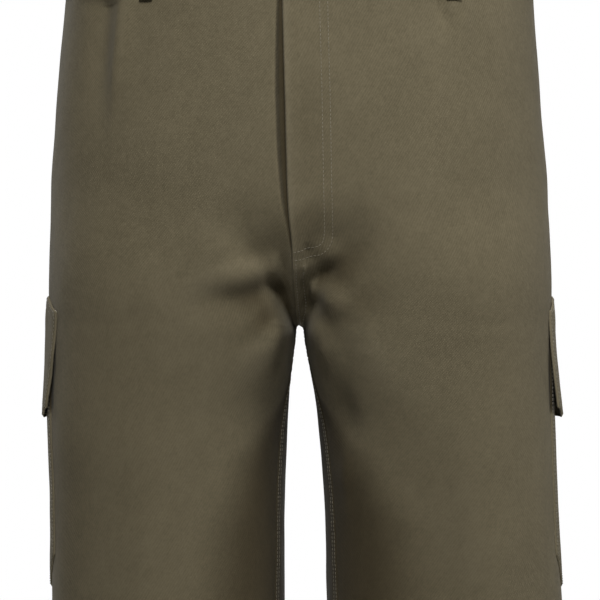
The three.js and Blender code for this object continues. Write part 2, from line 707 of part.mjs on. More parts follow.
// A sewn-on button: a dished disc with a rim
function buttonGeometry() {
  const profile = [
    [0, 0],
    [BUTTON_RADIUS - 1.4, 0],
    [BUTTON_RADIUS, 0.9],
    [BUTTON_RADIUS, 2.2],
    [BUTTON_RADIUS - 1, BUTTON_THICK],
    [BUTTON_RADIUS - 2.4, BUTTON_THICK - 0.2],
    [BUTTON_RADIUS - 3.2, BUTTON_THICK - 0.9],
    [0, BUTTON_THICK - 0.9],
  ].map(([radius, height]) => new THREE.Vector2(radius, height));
  return new THREE.LatheGeometry(profile, 28);
}

const shorts = new THREE.Group();

function add(name, geometry, finish) {
  const mesh = new THREE.Mesh(geometry, new THREE.MeshStandardMaterial(finish));
  mesh.name = name;
  shorts.add(mesh);
  return mesh;
}

add("front_right", wall(frontRightGrid()), TWILL);
add("front_left", wall(panelGrid("left", "front")), TWILL);
add("back_right", wall(panelGrid("right", "back")), TWILL);
add("back_left", wall(panelGrid("left", "back")), TWILL);
for (const sideName of ["right", "left"]) {
  add(`waistband_${sideName}`, wall(bandGrid(sideName)), TWILL_DARK);
  add(`cargo_pocket_${sideName}`, wall(pocketGrid(sideName)), TWILL);
  add(`cargo_flap_${sideName}`, wall(flapGrid(sideName)), TWILL_DARK);
}
for (const { name, side, around } of LOOPS) add(name, wall(sideLoop(side, around)), TWILL_DARK);
add("belt_loop_centre_back", wall(centreBackLoop()), TWILL_DARK);
add("fly_zip", wall(zipGrid()), TWILL_DARK);

const buttonZ = -BAND_HEIGHT / 2;
const buttonAround = section("left", buttonZ, "front").length - BUTTON_FROM_EDGE;
const buttonSeat = cloth("left", buttonZ, buttonAround);
const button = add("waist_button", buttonGeometry(), HORN);
button.position.copy(buttonSeat.point).addScaledVector(buttonSeat.normal, BAND_PROUD + SEAM_GAP);
button.quaternion.setFromUnitVectors(new THREE.Vector3(0, 1, 0), buttonSeat.normal);

const SLIDER_DROP = 8;
const sliderZ = ZIP_TOP_Z - SLIDER_DROP;
const sliderAround = section("left", sliderZ, "front").length - ZIP_FROM_EDGE - ZIP_WIDTH / 2;
const sliderSeat = cloth("left", sliderZ, sliderAround);
const slider = add("zip_slider", sliderGeometry(), BRASS);
const sliderDepth = WALL + ZIP_CHAIN + 2 * SEAM_GAP + FACET_ROOM / 2 + SLIDER_THICK;
slider.position.copy(sliderSeat.point).addScaledVector(sliderSeat.normal, -sliderDepth);
slider.quaternion.setFromUnitVectors(new THREE.Vector3(0, -1, 0), sliderSeat.normal);

export default shorts;
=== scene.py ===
"""Knee-length cargo shorts in washed cotton twill, sewn and creased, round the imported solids."""

import json
import math

import bmesh
import bpy
import numpy as np
from mathutils import Matrix, Vector, noise

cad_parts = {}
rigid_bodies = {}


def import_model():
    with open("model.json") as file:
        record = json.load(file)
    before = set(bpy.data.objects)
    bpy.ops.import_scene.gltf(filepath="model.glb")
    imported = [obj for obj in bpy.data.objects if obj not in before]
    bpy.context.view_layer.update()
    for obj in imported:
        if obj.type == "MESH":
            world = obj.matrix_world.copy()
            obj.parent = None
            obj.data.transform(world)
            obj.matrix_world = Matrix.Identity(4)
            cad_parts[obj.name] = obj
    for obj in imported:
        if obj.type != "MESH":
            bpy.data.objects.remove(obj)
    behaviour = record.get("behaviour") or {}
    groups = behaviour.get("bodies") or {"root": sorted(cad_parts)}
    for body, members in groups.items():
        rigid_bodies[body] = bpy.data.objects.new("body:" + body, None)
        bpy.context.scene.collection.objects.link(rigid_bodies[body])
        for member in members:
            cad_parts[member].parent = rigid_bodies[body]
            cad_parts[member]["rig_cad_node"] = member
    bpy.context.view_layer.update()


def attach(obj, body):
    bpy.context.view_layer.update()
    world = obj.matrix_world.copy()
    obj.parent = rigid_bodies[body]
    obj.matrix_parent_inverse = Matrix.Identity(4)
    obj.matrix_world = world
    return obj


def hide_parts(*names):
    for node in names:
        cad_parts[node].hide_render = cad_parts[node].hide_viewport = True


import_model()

MM = 0.001

# Heights and seams, in millimetres, as the solids have them
BAND_HEIGHT = 42.0
CROTCH_Z = -298.5
HEM_Z = -575.0
HEM_FOLD = 25.0
SIDE_SEAM = -15.0
INSEAM_AHEAD = 32.0
FLY_END_Z = -243.0
FLY_TAPER = 20.0
UNDERLAP = 12.0
LAP_DIP = 2.6
BAND_PROUD = 0.8
BAND_UNDERLAP = 35.0
BAND_DIP = 3.5
LOOP_WIDTH = 11.0
LOOP_AHEAD = 132
LOOP_BEHIND = 110
POCKET_FRONT, POCKET_BACK, POCKET_TOP, POCKET_BOTTOM = 33.0, -130.0, -301.0, -501.0
POCKET_MITRE = 27.0
FLAP_FRONT, FLAP_BACK, FLAP_TOP, FLAP_BOTTOM = 36.0, -134.0, -276.0, -370.0
FLAP_SLOPE, FLAP_DROP, FLAP_LIFT = 30.0, 11.0, 8.0
SIDES = ("right", "left")
FACINGS = ("front", "back")
WAY = {"right": 1, "left": -1}
FLAP_FLARE = {"right": 3.4, "left": 5.9}
FLAP_FRONT_TOP = {"right": 61.0, "left": 40.0}

SECTION_NAMES = ["z", "right", "left", "inner_right", "inner_left", "front", "back"]
SECTIONS = np.array([
    [0, 178, 178, 3.3, 3.3, -112, 120],
    [-45, 182.6, 181.8, 3.3, 3.3, -117, 127],
    [-123, 189.4, 187.6, 3.3, 3.3, -124, 139],
    [-201, 193.3, 193, 3.3, 3.3, -127, 142],
    [-262, 195.6, 195.8, 3.3, 3.3, -122, 131],
    [-299, 194.4, 195.2, 3.4, 3.3, -117, 112],
    [-326, 194.1, 195, 6.2, 7.1, -113, 101],
    [-372, 194.1, 195.7, 9.4, 14, -108, 88],
    [-435, 192.3, 198.2, 11.5, 18.9, -102, 77],
    [-513, 191.8, 202.6, 11.7, 21, -98, 69],
    [-575, 191.6, 204.6, 11.7, 21.6, -96, 64],
])
CENTRE_LINE = np.array([
    [0, -14], [-56, -13.4], [-141, -11.2], [-184, -10.1], [-216, -8.9], [-242, -6.9], [-287, -7],
])

TRUNK_POWER = {"front": 2.35, "back": 2.45}
RISE = {"front": (110.0, 2.1), "back": (130.0, 1.9)}
LEG_POWER = 2.25
CROTCH_SQUARENESS = 3.0
SQUARENESS_FADE = 40.0
SEAM_PULL = 5
TURN_FILL = 0.035
GAP_ROUND = 3.0
STEPS = 150
SLOPE_STEP = 0.5
AROUND_STEP = 1.5

# Folds: a line through three places (across, height), its half width, how far it stands out or
# in, and the shares of its length over which it rises and fades
FRONT_FOLDS = [
    [3, -252, 14, -259, 33, -262, 11, -2.2, 0.2, 0.7],
    [25, -254, 45, -238, 66, -213, 22, -3.6, 0.4, 0.5],
    [6, -243, 22, -244, 34, -240, 8, 1.8, 0.3, 0.5],
    [-76, -269, -42, -263, -12, -255, 12, 3.2, 0.5, 0.1],
    [-100, -284, -41, -277, -10, -266, 13, -3.4, 0.5, 0.3],
    [-72, -298, -32, -293, -10, -278, 9, 2.4, 0.5, 0.1],
    [-52, -312, -28, -295, -13, -283, 11, -2.8, 0.5, 0.3],
    [-9, -288, -19, -301, -28, -324, 9, 3, 0.2, 0.5],
    [6, -271, 27, -283, 62, -326, 12, 3.8, 0.2, 0.5],
    [8, -277, 20, -292, 28, -313, 7, -3.4, 0.2, 0.4],
    [3, -288, 8, -309, 19, -328, 7, 2.8, 0.2, 0.4],
    [27, -350, 33, -372, 40, -396, 14, -3, 0.4, 0.5],
    [30, -398, 34, -412, 36, -430, 10, 2, 0.4, 0.5],
    [-136, -46, -137, -96, -144, -156, 11, 4.4, 0.02, 0.5],
    [-147, -46, -151, -90, -157, -140, 10, -3.2, 0.02, 0.5],
    [105, -46, 106, -62, 109, -92, 10, -2.8, 0.02, 0.6],
    [117, -46, 120, -68, 124, -104, 10, 3, 0.02, 0.6],
    [-118, -330, -124, -440, -122, -562, 24, 2.4, 0.4, 0.1],
    [-62, -380, -66, -470, -64, -570, 22, -2.4, 0.4, 0.1],
    [84, -350, 92, -450, 98, -566, 22, -2.2, 0.4, 0.1],
    [134, -340, 142, -440, 146, -566, 24, 2.6, 0.4, 0.1],
]
BACK_FOLDS = [
    [-8, -268, -48, -284, -112, -276, 14, -4, 0.1, 0.5],
    [-10, -284, -40, -304, -92, -306, 12, 3.6, 0.1, 0.5],
    [-14, -296, -34, -322, -76, -338, 12, -3.6, 0.1, 0.5],
    [8, -264, 46, -278, 104, -266, 14, -4.2, 0.1, 0.5],
    [10, -281, 42, -298, 98, -296, 12, 3.4, 0.1, 0.5],
    [16, -296, 38, -318, 84, -330, 12, -3.4, 0.1, 0.5],
    [0, -120, 0, -180, 0, -262, 34, -5, 0.4, 0.2],
    [-96, -340, -104, -450, -102, -566, 26, 3.2, 0.4, 0.1],
    [-46, -370, -52, -460, -50, -566, 20, -2.8, 0.4, 0.1],
    [70, -345, 78, -450, 84, -566, 24, -3, 0.4, 0.1],
    [122, -350, 130, -450, 134, -566, 24, 3, 0.4, 0.1],
]
RIGHT_FOLDS = [[-20, -150, 10, -190, 46, -250, 22, 1.6, 0.5, 0.5]]
LEFT_FOLDS = [[-16, -140, 14, -186, 50, -248, 22, 1.6, 0.5, 0.5]]
FOLD_STEPS = 10
FOLD_SPREAD = 1.5
FACING_FROM = 0.15
FACING_GAIN = 1.6

PANEL_WALL = 1.0
POCKET_WALL = 1.0
FLAP_WALL = 1.2
BAND_WALL = 2.0


def clamp(value, low, high):
    return min(max(value, low), high)


def mix(a, b, t):
    return a + (b - a) * t


def ease(t):
    c = np.clip(t, 0, 1)
    return c * c * (3 - 2 * c)


def from_table(table, column, z):
    """A smooth curve through one column of a table, by height."""
    heights, values = table[:, 0], table[:, column]
    last = len(heights) - 1
    i = clamp(int(np.searchsorted(-heights, -z)) - 1, 0, last - 1)

    def slope(j):
        before, after = max(j - 1, 0), min(j + 1, last)
        return (values[after] - values[before]) / (heights[after] - heights[before])

    span = heights[i + 1] - heights[i]
    t = clamp((z - heights[i]) / span, 0, 1)
    t2, t3 = t * t, t * t * t
    return (
        (2 * t3 - 3 * t2 + 1) * values[i]
        + (t3 - 2 * t2 + t) * span * slope(i)
        + (3 * t2 - 2 * t3) * values[i + 1]
        + (t3 - t2) * span * slope(i + 1)
    )


def section_size(name, z):
    return from_table(SECTIONS, SECTION_NAMES.index(name), z)


def centre_line(z):
    return from_table(CENTRE_LINE, 1, z)


def oval(angle, power):
    c, s = np.cos(angle), np.sin(angle)
    return np.sign(c) * np.abs(c) ** (2 / power), np.sign(s) * np.abs(s) ** (2 / power)


def evenly(x, y):
    """The same line with its points evenly spaced, and its length."""
    reach = np.concatenate([[0], np.cumsum(np.hypot(np.diff(x), np.diff(y)))])
    wanted = np.linspace(0, reach[-1], STEPS + 1)
    return np.interp(wanted, reach, x), np.interp(wanted, reach, y), reach[-1]


def leg_share(z, rise, round_share):
    """How far a section has turned from trunk (0) to leg (1)."""
    height, power = rise
    h = clamp((z - CROTCH_Z) / height, 0, 1)
    at_seam = 1 - (1 - (1 - h) ** power) ** (1 / power)
    return mix(float(ease(1 - h)), at_seam, round_share**SEAM_PULL)


def half_section(side, z, facing):
    """Half of one side's level section, from the side line to the centre or the inseam."""
    way = -WAY[side]
    outer = section_size(side, z)
    inner = section_size("inner_" + side, z)
    front, back = section_size("front", z), section_size("back", z)
    middle, depth = (front + back) / 2, (back - front) / 2
    below = max(CROTCH_Z - z, 0)
    inner_power = LEG_POWER + CROTCH_SQUARENESS * math.exp(-((below / SQUARENESS_FADE) ** 2))
    trunk_power = TRUNK_POWER[facing]
    towards = -1 if facing == "front" else 1

    seam_x = centre_line(z) if facing == "front" else 0
    q = way * seam_x / outer
    trunk_end = math.acos(math.copysign(abs(q) ** (trunk_power / 2), q))
    inseam = math.asin((INSEAM_AHEAD / depth) ** (inner_power / 2))
    leg_end = math.pi - inseam if facing == "front" else math.pi + inseam
    centre = (outer + inner) / 2

    t = np.linspace(0, 1, STEPS + 1)
    tx, ty = oval(t * trunk_end, trunk_power)
    trunk_x, trunk_y, _ = evenly(way * outer * tx, middle + towards * depth * ty)
    angle = t * leg_end
    lx, ly = oval(angle, np.where(np.cos(angle) > 0, LEG_POWER, inner_power))
    y = middle + towards * depth * ly
    near = np.minimum(np.hypot(below, y - middle + INSEAM_AHEAD) / GAP_ROUND, 1)
    gap = inner * np.sqrt(1 - (1 - near) ** 2)
    leg_x, leg_y, _ = evenly(way * (centre + np.where(lx > 0, outer - centre, centre - gap) * lx), y)
    share = leg_share(z, RISE[facing], t)
    x, y = mix(trunk_x, leg_x, share), mix(trunk_y, leg_y, share)
    filled = 1 + TURN_FILL * math.sin(math.pi * leg_share(z, RISE[facing], 0.0))
    return evenly(x, middle + (y - middle) * filled)


section_store = {}


def section(side, z, facing):
    key = (side, round(z, 4), facing)
    if key not in section_store:
        section_store[key] = half_section(side, z, facing)
    return section_store[key]


def reach_of(side, z, facing):
    return section(side, z, facing)[2]


def skin_xy(side, z, around):
    """Points of the skin at one height; around is the distance ahead of the side line."""
    places = np.empty((len(around), 2))
    for facing, here in (("front", around >= 0), ("back", around < 0)):
        x, y, length = section(side, z, facing)
        at = np.clip(np.abs(around[here]) / length, 0, 1) * STEPS
        places[here, 0] = np.interp(at, np.arange(STEPS + 1), x)
        places[here, 1] = np.interp(at, np.arange(STEPS + 1), y)
    return places


def skin_row(side, z, around):
    """Points and outward normals of the skin at one height."""
    around = np.asarray(around, float)
    ahead, behind = reach_of(side, z, "front"), reach_of(side, z, "back")
    here = skin_xy(side, z, around)
    stepped = np.minimum(around + AROUND_STEP, ahead), np.maximum(around - AROUND_STEP, -behind)
    run = skin_xy(side, z, stepped[0]) - skin_xy(side, z, stepped[1])
    share = around / np.where(around >= 0, ahead, behind)
    normal = np.zeros((len(around), 3))
    for step in (SLOPE_STEP, -SLOPE_STEP):
        z2 = z + step
        reach = np.where(around >= 0, reach_of(side, z2, "front"), reach_of(side, z2, "back"))
        rise = (skin_xy(side, z2, share * reach) - here) * math.copysign(1, step)
        across = np.stack([
            run[:, 1] * SLOPE_STEP,
            -run[:, 0] * SLOPE_STEP,
            run[:, 0] * rise[:, 1] - run[:, 1] * rise[:, 0],
        ], axis=1)
        normal += across / np.linalg.norm(across, axis=1, keepdims=True)
    normal /= np.linalg.norm(normal, axis=1, keepdims=True)
    if side == "left":
        normal = -normal
    points = np.column_stack([here, np.full(len(around), z)])
    return points, normal


class Fold:
    """One fold of the cloth: its bowed line and its profile."""

    def __init__(self, face, a, za, b, zb, c, zc, wide, deep, rise, fade):
        self.face, self.wide, self.deep, self.rise, self.fade = face, wide, deep, rise, fade
        t = np.linspace(0, 1, FOLD_STEPS + 1)
        share = (1 - t) ** 2, 2 * t * (1 - t), t**2
        self.a = share[0] * a + share[1] * (2 * b - (a + c) / 2) + share[2] * c
        self.z = share[0] * za + share[1] * (2 * zb - (za + zc) / 2) + share[2] * zc

    def height(self, a, z):
        a0, z0 = self.a[:-1], self.z[:-1]
        da, dz = np.diff(self.a), np.diff(self.z)
        t = ((a[:, None] - a0) * da + (z[:, None] - z0) * dz) / (da**2 + dz**2)
        t = np.clip(t, 0, 1)
        far = np.hypot(a[:, None] - a0 - t * da, z[:, None] - z0 - t * dz)
        nearest = np.argmin(far, axis=1)
        rows = np.arange(len(a))
        place = (nearest + t[rows, nearest]) / FOLD_STEPS
        q = np.minimum(far[rows, nearest] / (self.wide * FOLD_SPREAD), 1)
        ends = ease(place / self.rise) * ease((1 - place) / self.fade)
        return self.deep * (1 - q * q) ** 2 * ends


def fold_push(side, points, normals, folds):
    """How far the folds push the skin out at each point."""
    facing = {name: np.zeros(len(points)) for name in SIDES}
    facing.update({"front": -normals[:, 1], "back": normals[:, 1], side: -WAY[side] * normals[:, 0]})
    push = np.zeros(len(points))
    for fold in folds:
        a = points[:, 0] if fold.face in ("front", "back") else points[:, 1]
        z = points[:, 2]
        room = fold.wide * FOLD_SPREAD
        near = (facing[fold.face] > FACING_FROM) & (a > fold.a.min() - room)
        near &= (a < fold.a.max() + room) & (z > fold.z.min() - room) & (z < fold.z.max() + room)
        if near.any():
            weight = np.clip((facing[fold.face][near] - FACING_FROM) * FACING_GAIN, 0, 1)
            push[near] += weight * fold.height(a[near], z[near])
    return push


MAIN_FOLDS = [
    Fold(face, *row)
    for face, rows in (
        ("front", FRONT_FOLDS), ("back", BACK_FOLDS), ("right", RIGHT_FOLDS), ("left", LEFT_FOLDS),
    )
    for row in rows
]

# Smaller creases, on the same plan
FINE_FRONT = [
    # over the fly's end and below it
    [-5.2, -253, 16.4, -251.5, 53.5, -224, 5, 1.6, 0.15, 0.5],
    [2.2, -259.2, 26, -255.2, 63.9, -220.5, 10, -1.4, 0.1, 0.6],
    [1.5, -238.1, 5.9, -241.1, 11.2, -244.8, 3.2, -1.4, 0.4, 0.4],
    [15.6, -224, 16.4, -234.4, 14.9, -242.6, 1.3, -0.5, 0.3, 0.2],
    [18.6, -222.5, 19.3, -232.9, 18.6, -241.1, 1.2, 0.45, 0.3, 0.2],
    [21.6, -225.5, 22.3, -234.4, 20.8, -241.8, 1.2, -0.4, 0.3, 0.2],
    [24.5, -227, 24.5, -235.1, 23, -241.1, 1.3, 0.45, 0.3, 0.2],
    [-1.5, -250.7, 4.5, -255.2, 7.4, -258.9, 2, 0.7, 0.3, 0.3],
    [3.5, -251, 9.5, -256, 15.5, -257.5, 1.3, 0.9, 0.2, 0.3],
    [6.5, -250.5, 12.5, -253.2, 19, -254, 1.1, 0.7, 0.2, 0.3],
    [1.2, -252.5, 4, -258, 6, -264, 1.1, 0.6, 0.2, 0.4],
    [0.0, -253.7, 8.9, -254.5, 18.6, -250.7, 5.2, 2.3, 0.15, 0.4],
    [-7, -268, -15, -281, -21, -300, 11, 1.5, 0.3, 0.4],
    # out across the right thigh
    [-11.9, -252.2, -44.6, -261.2, -100.4, -276.8, 10, 2.8, 0.1, 0.6],
    [-9.7, -266.4, -40.9, -276.8, -81.8, -284.2, 7, -1.5, 0.1, 0.6],
    [-13.4, -258.2, -23.8, -265.6, -44.6, -270.1, 4, -0.8, 0.2, 0.5],
    [-11.2, -280.5, -28.3, -297.4, -60, -325, 6, -2.4, 0.1, 0.6],
    [-10.4, -290.9, -30, -316, -50, -356, 11, 3.4, 0.2, 0.6],
    # out across the left thigh
    [7.4, -271.6, 29.7, -287.9, 78, -362, 10, 3.6, 0.1, 0.6],
    [4.5, -276, 18.6, -292.4, 28.3, -316.2, 5, -1.6, 0.1, 0.6],
    [3, -287.9, 11.9, -305, 22.3, -329.6, 6, 2.2, 0.2, 0.4],
    [20.8, -337, 34.2, -360.8, 32, -390.5, 7, -2, 0.3, 0.5],
    [34.2, -386.8, 34.9, -412.8, 34.9, -452.6, 4, 1.6, 0.3, 0.3],
    # pleats
    [-130.9, -51.5, -136.8, -100.6, -145.7, -178.6, 4.5, 1.5, 0.02, 0.4],
    [-148.7, -51.5, -153.9, -115.4, -157.6, -197.2, 19.3, -3.0, 0.02, 0.5],
    [104.8, -51.5, 105.6, -63.4, 106.3, -73.8, 1.6, -1.2, 0.02, 0.4],
    [124.9, -51.5, 120.4, -60.4, 116, -67.8, 1.8, -1, 0.02, 0.4],
    [113.8, -51.5, 113, -58.9, 112.3, -64.9, 4, 1, 0.02, 0.4],
]
FINE_BACK = [
    [3, -236, 22, -262, 58, -292, 8, -2.0, 0.1, 0.6],
    [-4, -228, -26, -258, -66, -284, 9, -2.3, 0.1, 0.6],
    [6, -252, 28, -276, 70, -306, 7, 1.6, 0.1, 0.5],
    [-8, -246, -30, -272, -74, -298, 7, 1.8, 0.1, 0.5],
    [10, -276, 34, -300, 52, -338, 7, -2.2, 0.1, 0.6],
    [-12, -272, -32, -298, -48, -342, 7, -2.0, 0.1, 0.6],
    [-60, -340, -84, -372, -118, -388, 9, -1.2, 0.3, 0.5],
    [62, -352, 88, -376, 116, -384, 8, -1.1, 0.3, 0.5],
    [-96, -52, -92, -96, -84, -138, 6, -1.6, 0.02, 0.6],
    [88, -52, 84, -90, 78, -128, 6, -1.4, 0.02, 0.6],
    [-44, -420, -62, -470, -66, -540, 10, 1.2, 0.3, 0.3],
    [56, -410, 70, -468, 76, -546, 10, 1.3, 0.3, 0.3],
]
FINE_FOLDS = [Fold("front", *row) for row in FINE_FRONT] + [Fold("back", *row) for row in FINE_BACK]


# Painted shade down in the folds round the crotch, where shade falls: lines and strength
PAINTED_SHADE_FRONT = [
    [-2.2, -260.4, -1.5, -276, -1.5, -295.4, 8.9, 0.25, 0.35, 0.02],
    [-7.4, -267.1, -37.2, -276.8, -83.3, -285.7, 11.2, 0.42, 0.02, 0.6],
    [-8.9, -279, -28.3, -295.4, -59.5, -323.6, 7.4, 0.55, 0.02, 0.6],
    [-8.9, -273.1, -35.7, -279, -74.4, -277.5, 29.7, 0.5, 0.02, 0.6],
    [11.9, -261.2, 33.5, -250.7, 66.9, -224, 13.4, 0.5, 0.1, 0.6],
    [8.9, -268.6, 38.7, -268.6, 81.8, -250.7, 29.7, 0.42, 0.1, 0.6],
    [1.5, -276, 17.8, -287.2, 27.5, -313.2, 6.7, 0.5, 0.02, 0.5],
    [-7.4, -208.4, 4.5, -224, 22.3, -235.9, 22.3, 0.4, 0.4, 0.4],
    [21.6, -334.8, 35.7, -363, 30.5, -383.1, 8.9, 0.35, 0.3, 0.3],
    [-9.7, -290.9, -14.1, -316.2, -20.8, -342.2, 4.5, 0.85, 0.1, 0.3],
    [8.2, -292.4, 13.4, -317.7, 22.3, -347.4, 4.5, 0.85, 0.3, 0.3],
    [-177, -368.2, -178.4, -442.6, -178.4, -516.9, 22.3, 0.3, 0.3, 0.01],
    [33.5, -279, 44.6, -287.9, 68.4, -301.3, 19.3, 0.22, 0.3, 0.5],
    [0, -100.6, 4.5, -160, 8.9, -204.6, 19.3, 0.16, 0.3, 0.3],
]
PAINTED_SHADE_BACK = [
    [0, -210, 0, -250, 0, -300, 14, 0.3, 0.4, 0.02],
    [3, -240, 26, -268, 62, -296, 16, 0.35, 0.02, 0.6],
    [-4, -236, -28, -264, -68, -290, 16, 0.35, 0.02, 0.6],
]
PAINTED_SHADE_LINES = [Fold("front", *row) for row in PAINTED_SHADE_FRONT] + [Fold("back", *row) for row in PAINTED_SHADE_BACK]
BROAD_WAVE, BROAD_SIZE, BROAD_TALL = 0.75, 52, 68
SMALL_WAVE, SMALL_SIZE, SMALL_TALL, SMALL_SHIFT = 0.28, 17, 24, 40


def unevenness(points):
    """The cloth's own slight waviness, the same wherever two pieces meet."""
    wave = np.empty(len(points))
    for i, (x, y, z) in enumerate(points):
        broad = noise.noise(Vector((x / BROAD_SIZE, y / BROAD_SIZE, z / BROAD_TALL)))
        small = noise.noise(Vector((x / SMALL_SIZE + SMALL_SHIFT, y / SMALL_SIZE, z / SMALL_TALL)))
        wave[i] = BROAD_WAVE * broad + SMALL_WAVE * small
    return wave


# The panels' rows: steps down by the distance from the crotch, where the cloth turns and the rows lie
# closer; then the hem's turn, as heights above its edge and how far in they lie
ROW_STEPS = [(9, 1.0), (22, 1.8), (math.inf, 2.9)]
HEM_ROWS = [
    (1.6, 0.0), (0.7, 0.15), (0.2, 0.5), (0.0, 1.1), (0.3, 1.8), (1.2, 2.2), (4, 2.3), (14, 2.3),
    (HEM_FOLD, 2.2),
]


def panel_levels():
    levels = [-BAND_HEIGHT + 5, -BAND_HEIGHT + 1.5, -BAND_HEIGHT - 0.3]
    z = -BAND_HEIGHT - 1.5
    while z > HEM_Z + 3:
        levels.append(z)
        z -= next(step for within, step in ROW_STEPS if abs(z - CROTCH_Z) < within)
    return [(z, 0.0) for z in levels] + [(HEM_Z + up, inset) for up, inset in HEM_ROWS]


LEVELS = panel_levels()

# Distances of the panels' columns from the side seam and from the other edge
SIDE_COLUMNS = [0, 0.35, 0.8, 1.5, 2.4, 3.6, 5, 6.4, 7.1, 7.9, 8.8, 10.5, 13]
END_COLUMNS = [14, 11.5, 10.4, 9.6, 8.8, 8, 7.2, 6.4, 5.2, 4, 2.9, 2, 1.2, 0.7, 0.35, 0.12, 0]
MIDDLE_COLUMNS = {"front": 66, "back": 74}


# Felled seams: how proud the allowance stands and its width, how far its edge sinks and rolls, how deep
# the stitches pull and the distance of their rows from the edge
FELLED = {
    "side": (0.7, 7.6, 1.0, 0.7, 0.28, (1.6, 6.2)),
    "inseam": (0.8, 7.6, 0.95, 0.6, 0.25, (1.6, 6.2)),
    "front": (0.75, 10, 0.95, 0.6, 0.25, (2.6, 8.6)),
    "seat": (0.75, 8.2, 0.95, 0.6, 0.25, (1.8, 6.8)),
}
STRIP_EDGE = 1.2
GROOVE_SPREAD = 0.8
TUCK_DEEP, TUCK_OVER, LAP_TUCK_OVER = 0.9, 2.4, 2.6
HEM_ROW = 2.5
HEM_THICK, HEM_EDGE, HEM_PULL = 0.35, 1.4, 0.3
LAP_RISE, LAP_RISE_OVER, LAP_SINK, LAP_ROLL = 0.7, 14, 2.5, 1.1
PUCKER, PUCKER_SLOW, PUCKER_FAST = 0.18, 0.16, 0.1
UNDER_BAND = 1.4


def strip(d, width):
    """A seam allowance under the cloth: 1 up to its width, and falling to 0 over its edge."""
    return ease((width + STRIP_EDGE / 2 - d) / STRIP_EDGE)


def rolled(d, over):
    return (1 - np.clip(d / over, 0, 1)) ** 2


def fading(d, reach):
    return np.exp(-((d / reach) ** 2))


def pulled(d, row):
    """The groove that a row of stitches pulls."""
    return fading(d - row, GROOVE_SPREAD)


def felled(d, seam):
    proud, width, sink, over, pull, rows = FELLED[seam]
    return proud * strip(d, width) - sink * rolled(d, over) - pull * sum(pulled(d, row) for row in rows)


def tucked(d, over=TUCK_OVER):
    """How far a piece's edge sinks where it runs under the next one."""
    return TUCK_DEEP * (1 - ease(d / over))


def fly_share(z):
    return ease((z - FLY_END_Z + 6) / 12)


def trunk_share(z):
    return ease((z - CROTCH_Z + 3) / 6)


# The gap beside the lap's edge, by depth below the waist's edge
GROOVE_DOWN = [40, 56, 90, 125, 165, 205, 218, 232, 243]
GROOVE_DEEP = [2.6, 4.0, 6.5, 7.5, 7.0, 5.0, 3.5, 2.0, 1.0]
GROOVE_WIDE = [3.0, 4.0, 6.0, 7.4, 7.0, 4.6, 2.8, 1.4, 0.6]


def sewn(side, facing, z, d_side, d_end):
    """Seams, laps and their stitching, as heights above the skin."""
    ripple = PUCKER_SLOW * np.sin(z * 0.9 + 1.3 * np.sin(z * 0.23)) + PUCKER_FAST * np.sin(z * 1.7 + 2)
    trunk, fly = trunk_share(z), fly_share(z)
    seam, leg = trunk * (1 - fly), 1 - trunk
    if facing == "back":
        height = felled(d_side, "side") + ripple * fading(d_side, 9)
        height += leg * (ripple * fading(d_end, 6) - tucked(d_end))
    else:
        height = ripple * fading(d_side, 6) - tucked(d_side)
        height += leg * (felled(d_end, "inseam") + ripple * fading(d_end, 9))
    if (side, facing) == ("left", "front"):
        lap = LAP_RISE * (1 - ease((d_end - 2) / LAP_RISE_OVER)) - LAP_SINK * rolled(d_end, LAP_ROLL)
        height += seam * (felled(d_end, "front") + ripple * fading(d_end, 10)) + trunk * fly * lap
    elif (side, facing) == ("right", "front"):
        deep, wide = (float(np.interp(-z, GROOVE_DOWN, size)) for size in (GROOVE_DEEP, GROOVE_WIDE))
        lap = deep * ease((wide + 1 - d_end) / (1 + wide * 0.6))
        height -= trunk * mix(tucked(d_end, LAP_TUCK_OVER), lap, fly)
    elif (side, facing) == ("right", "back"):
        height += trunk * (felled(d_end, "seat") + ripple * fading(d_end, 9))
    else:
        height -= trunk * tucked(d_end)
    # the hem's turn-up and its stitching
    up = z - HEM_Z
    from_row = up - HEM_FOLD + HEM_ROW
    hem = HEM_THICK * ease((HEM_FOLD + 0.6 - up) / HEM_EDGE) - HEM_PULL * fading(from_row, 0.9)
    hem += PUCKER * np.sin((d_side + z) * 0.8) * fading(from_row, 7)
    return height + hem


# How far painted shade reaches out from each inseam: darker in the folds between the legs
SHADE_DOWN = [300, 316, 353, 398, 450, 575]
SHADE_WIDE = {"right": [4, 6, 21, 74, 92, 106], "left": [3, 5, 17, 70, 108, 126]}
SHADE_SOFT = 0.62
SHADE_BACK = 0.6
CROTCH_REACH = 26.0
CROTCH_PASSES = 45
CROTCH_PULL = 0.6


def painted_inseam_shade(side, facing, z, d_end):
    wide = float(np.interp(-z, SHADE_DOWN, SHADE_WIDE[side]))
    if facing == "back":
        wide *= SHADE_BACK
    legs = float(ease((CROTCH_Z + 6 - z) / 30))
    return legs * ease((wide - d_end) / (wide * SHADE_SOFT))


def painted_shade_under_flap(side, z, around):
    """Painted shade on the cloth behind the flap's free front edge."""
    down = (z - FLAP_TOP) / (FLAP_BOTTOM - FLAP_TOP)
    front = mix(FLAP_FRONT_TOP[side], FLAP_FRONT, down)
    within = float(ease((down - 0.16) / 0.1)) * float(ease((0.97 - down) / 0.06))
    return within * ease((front + 1.5 - around) / 2)


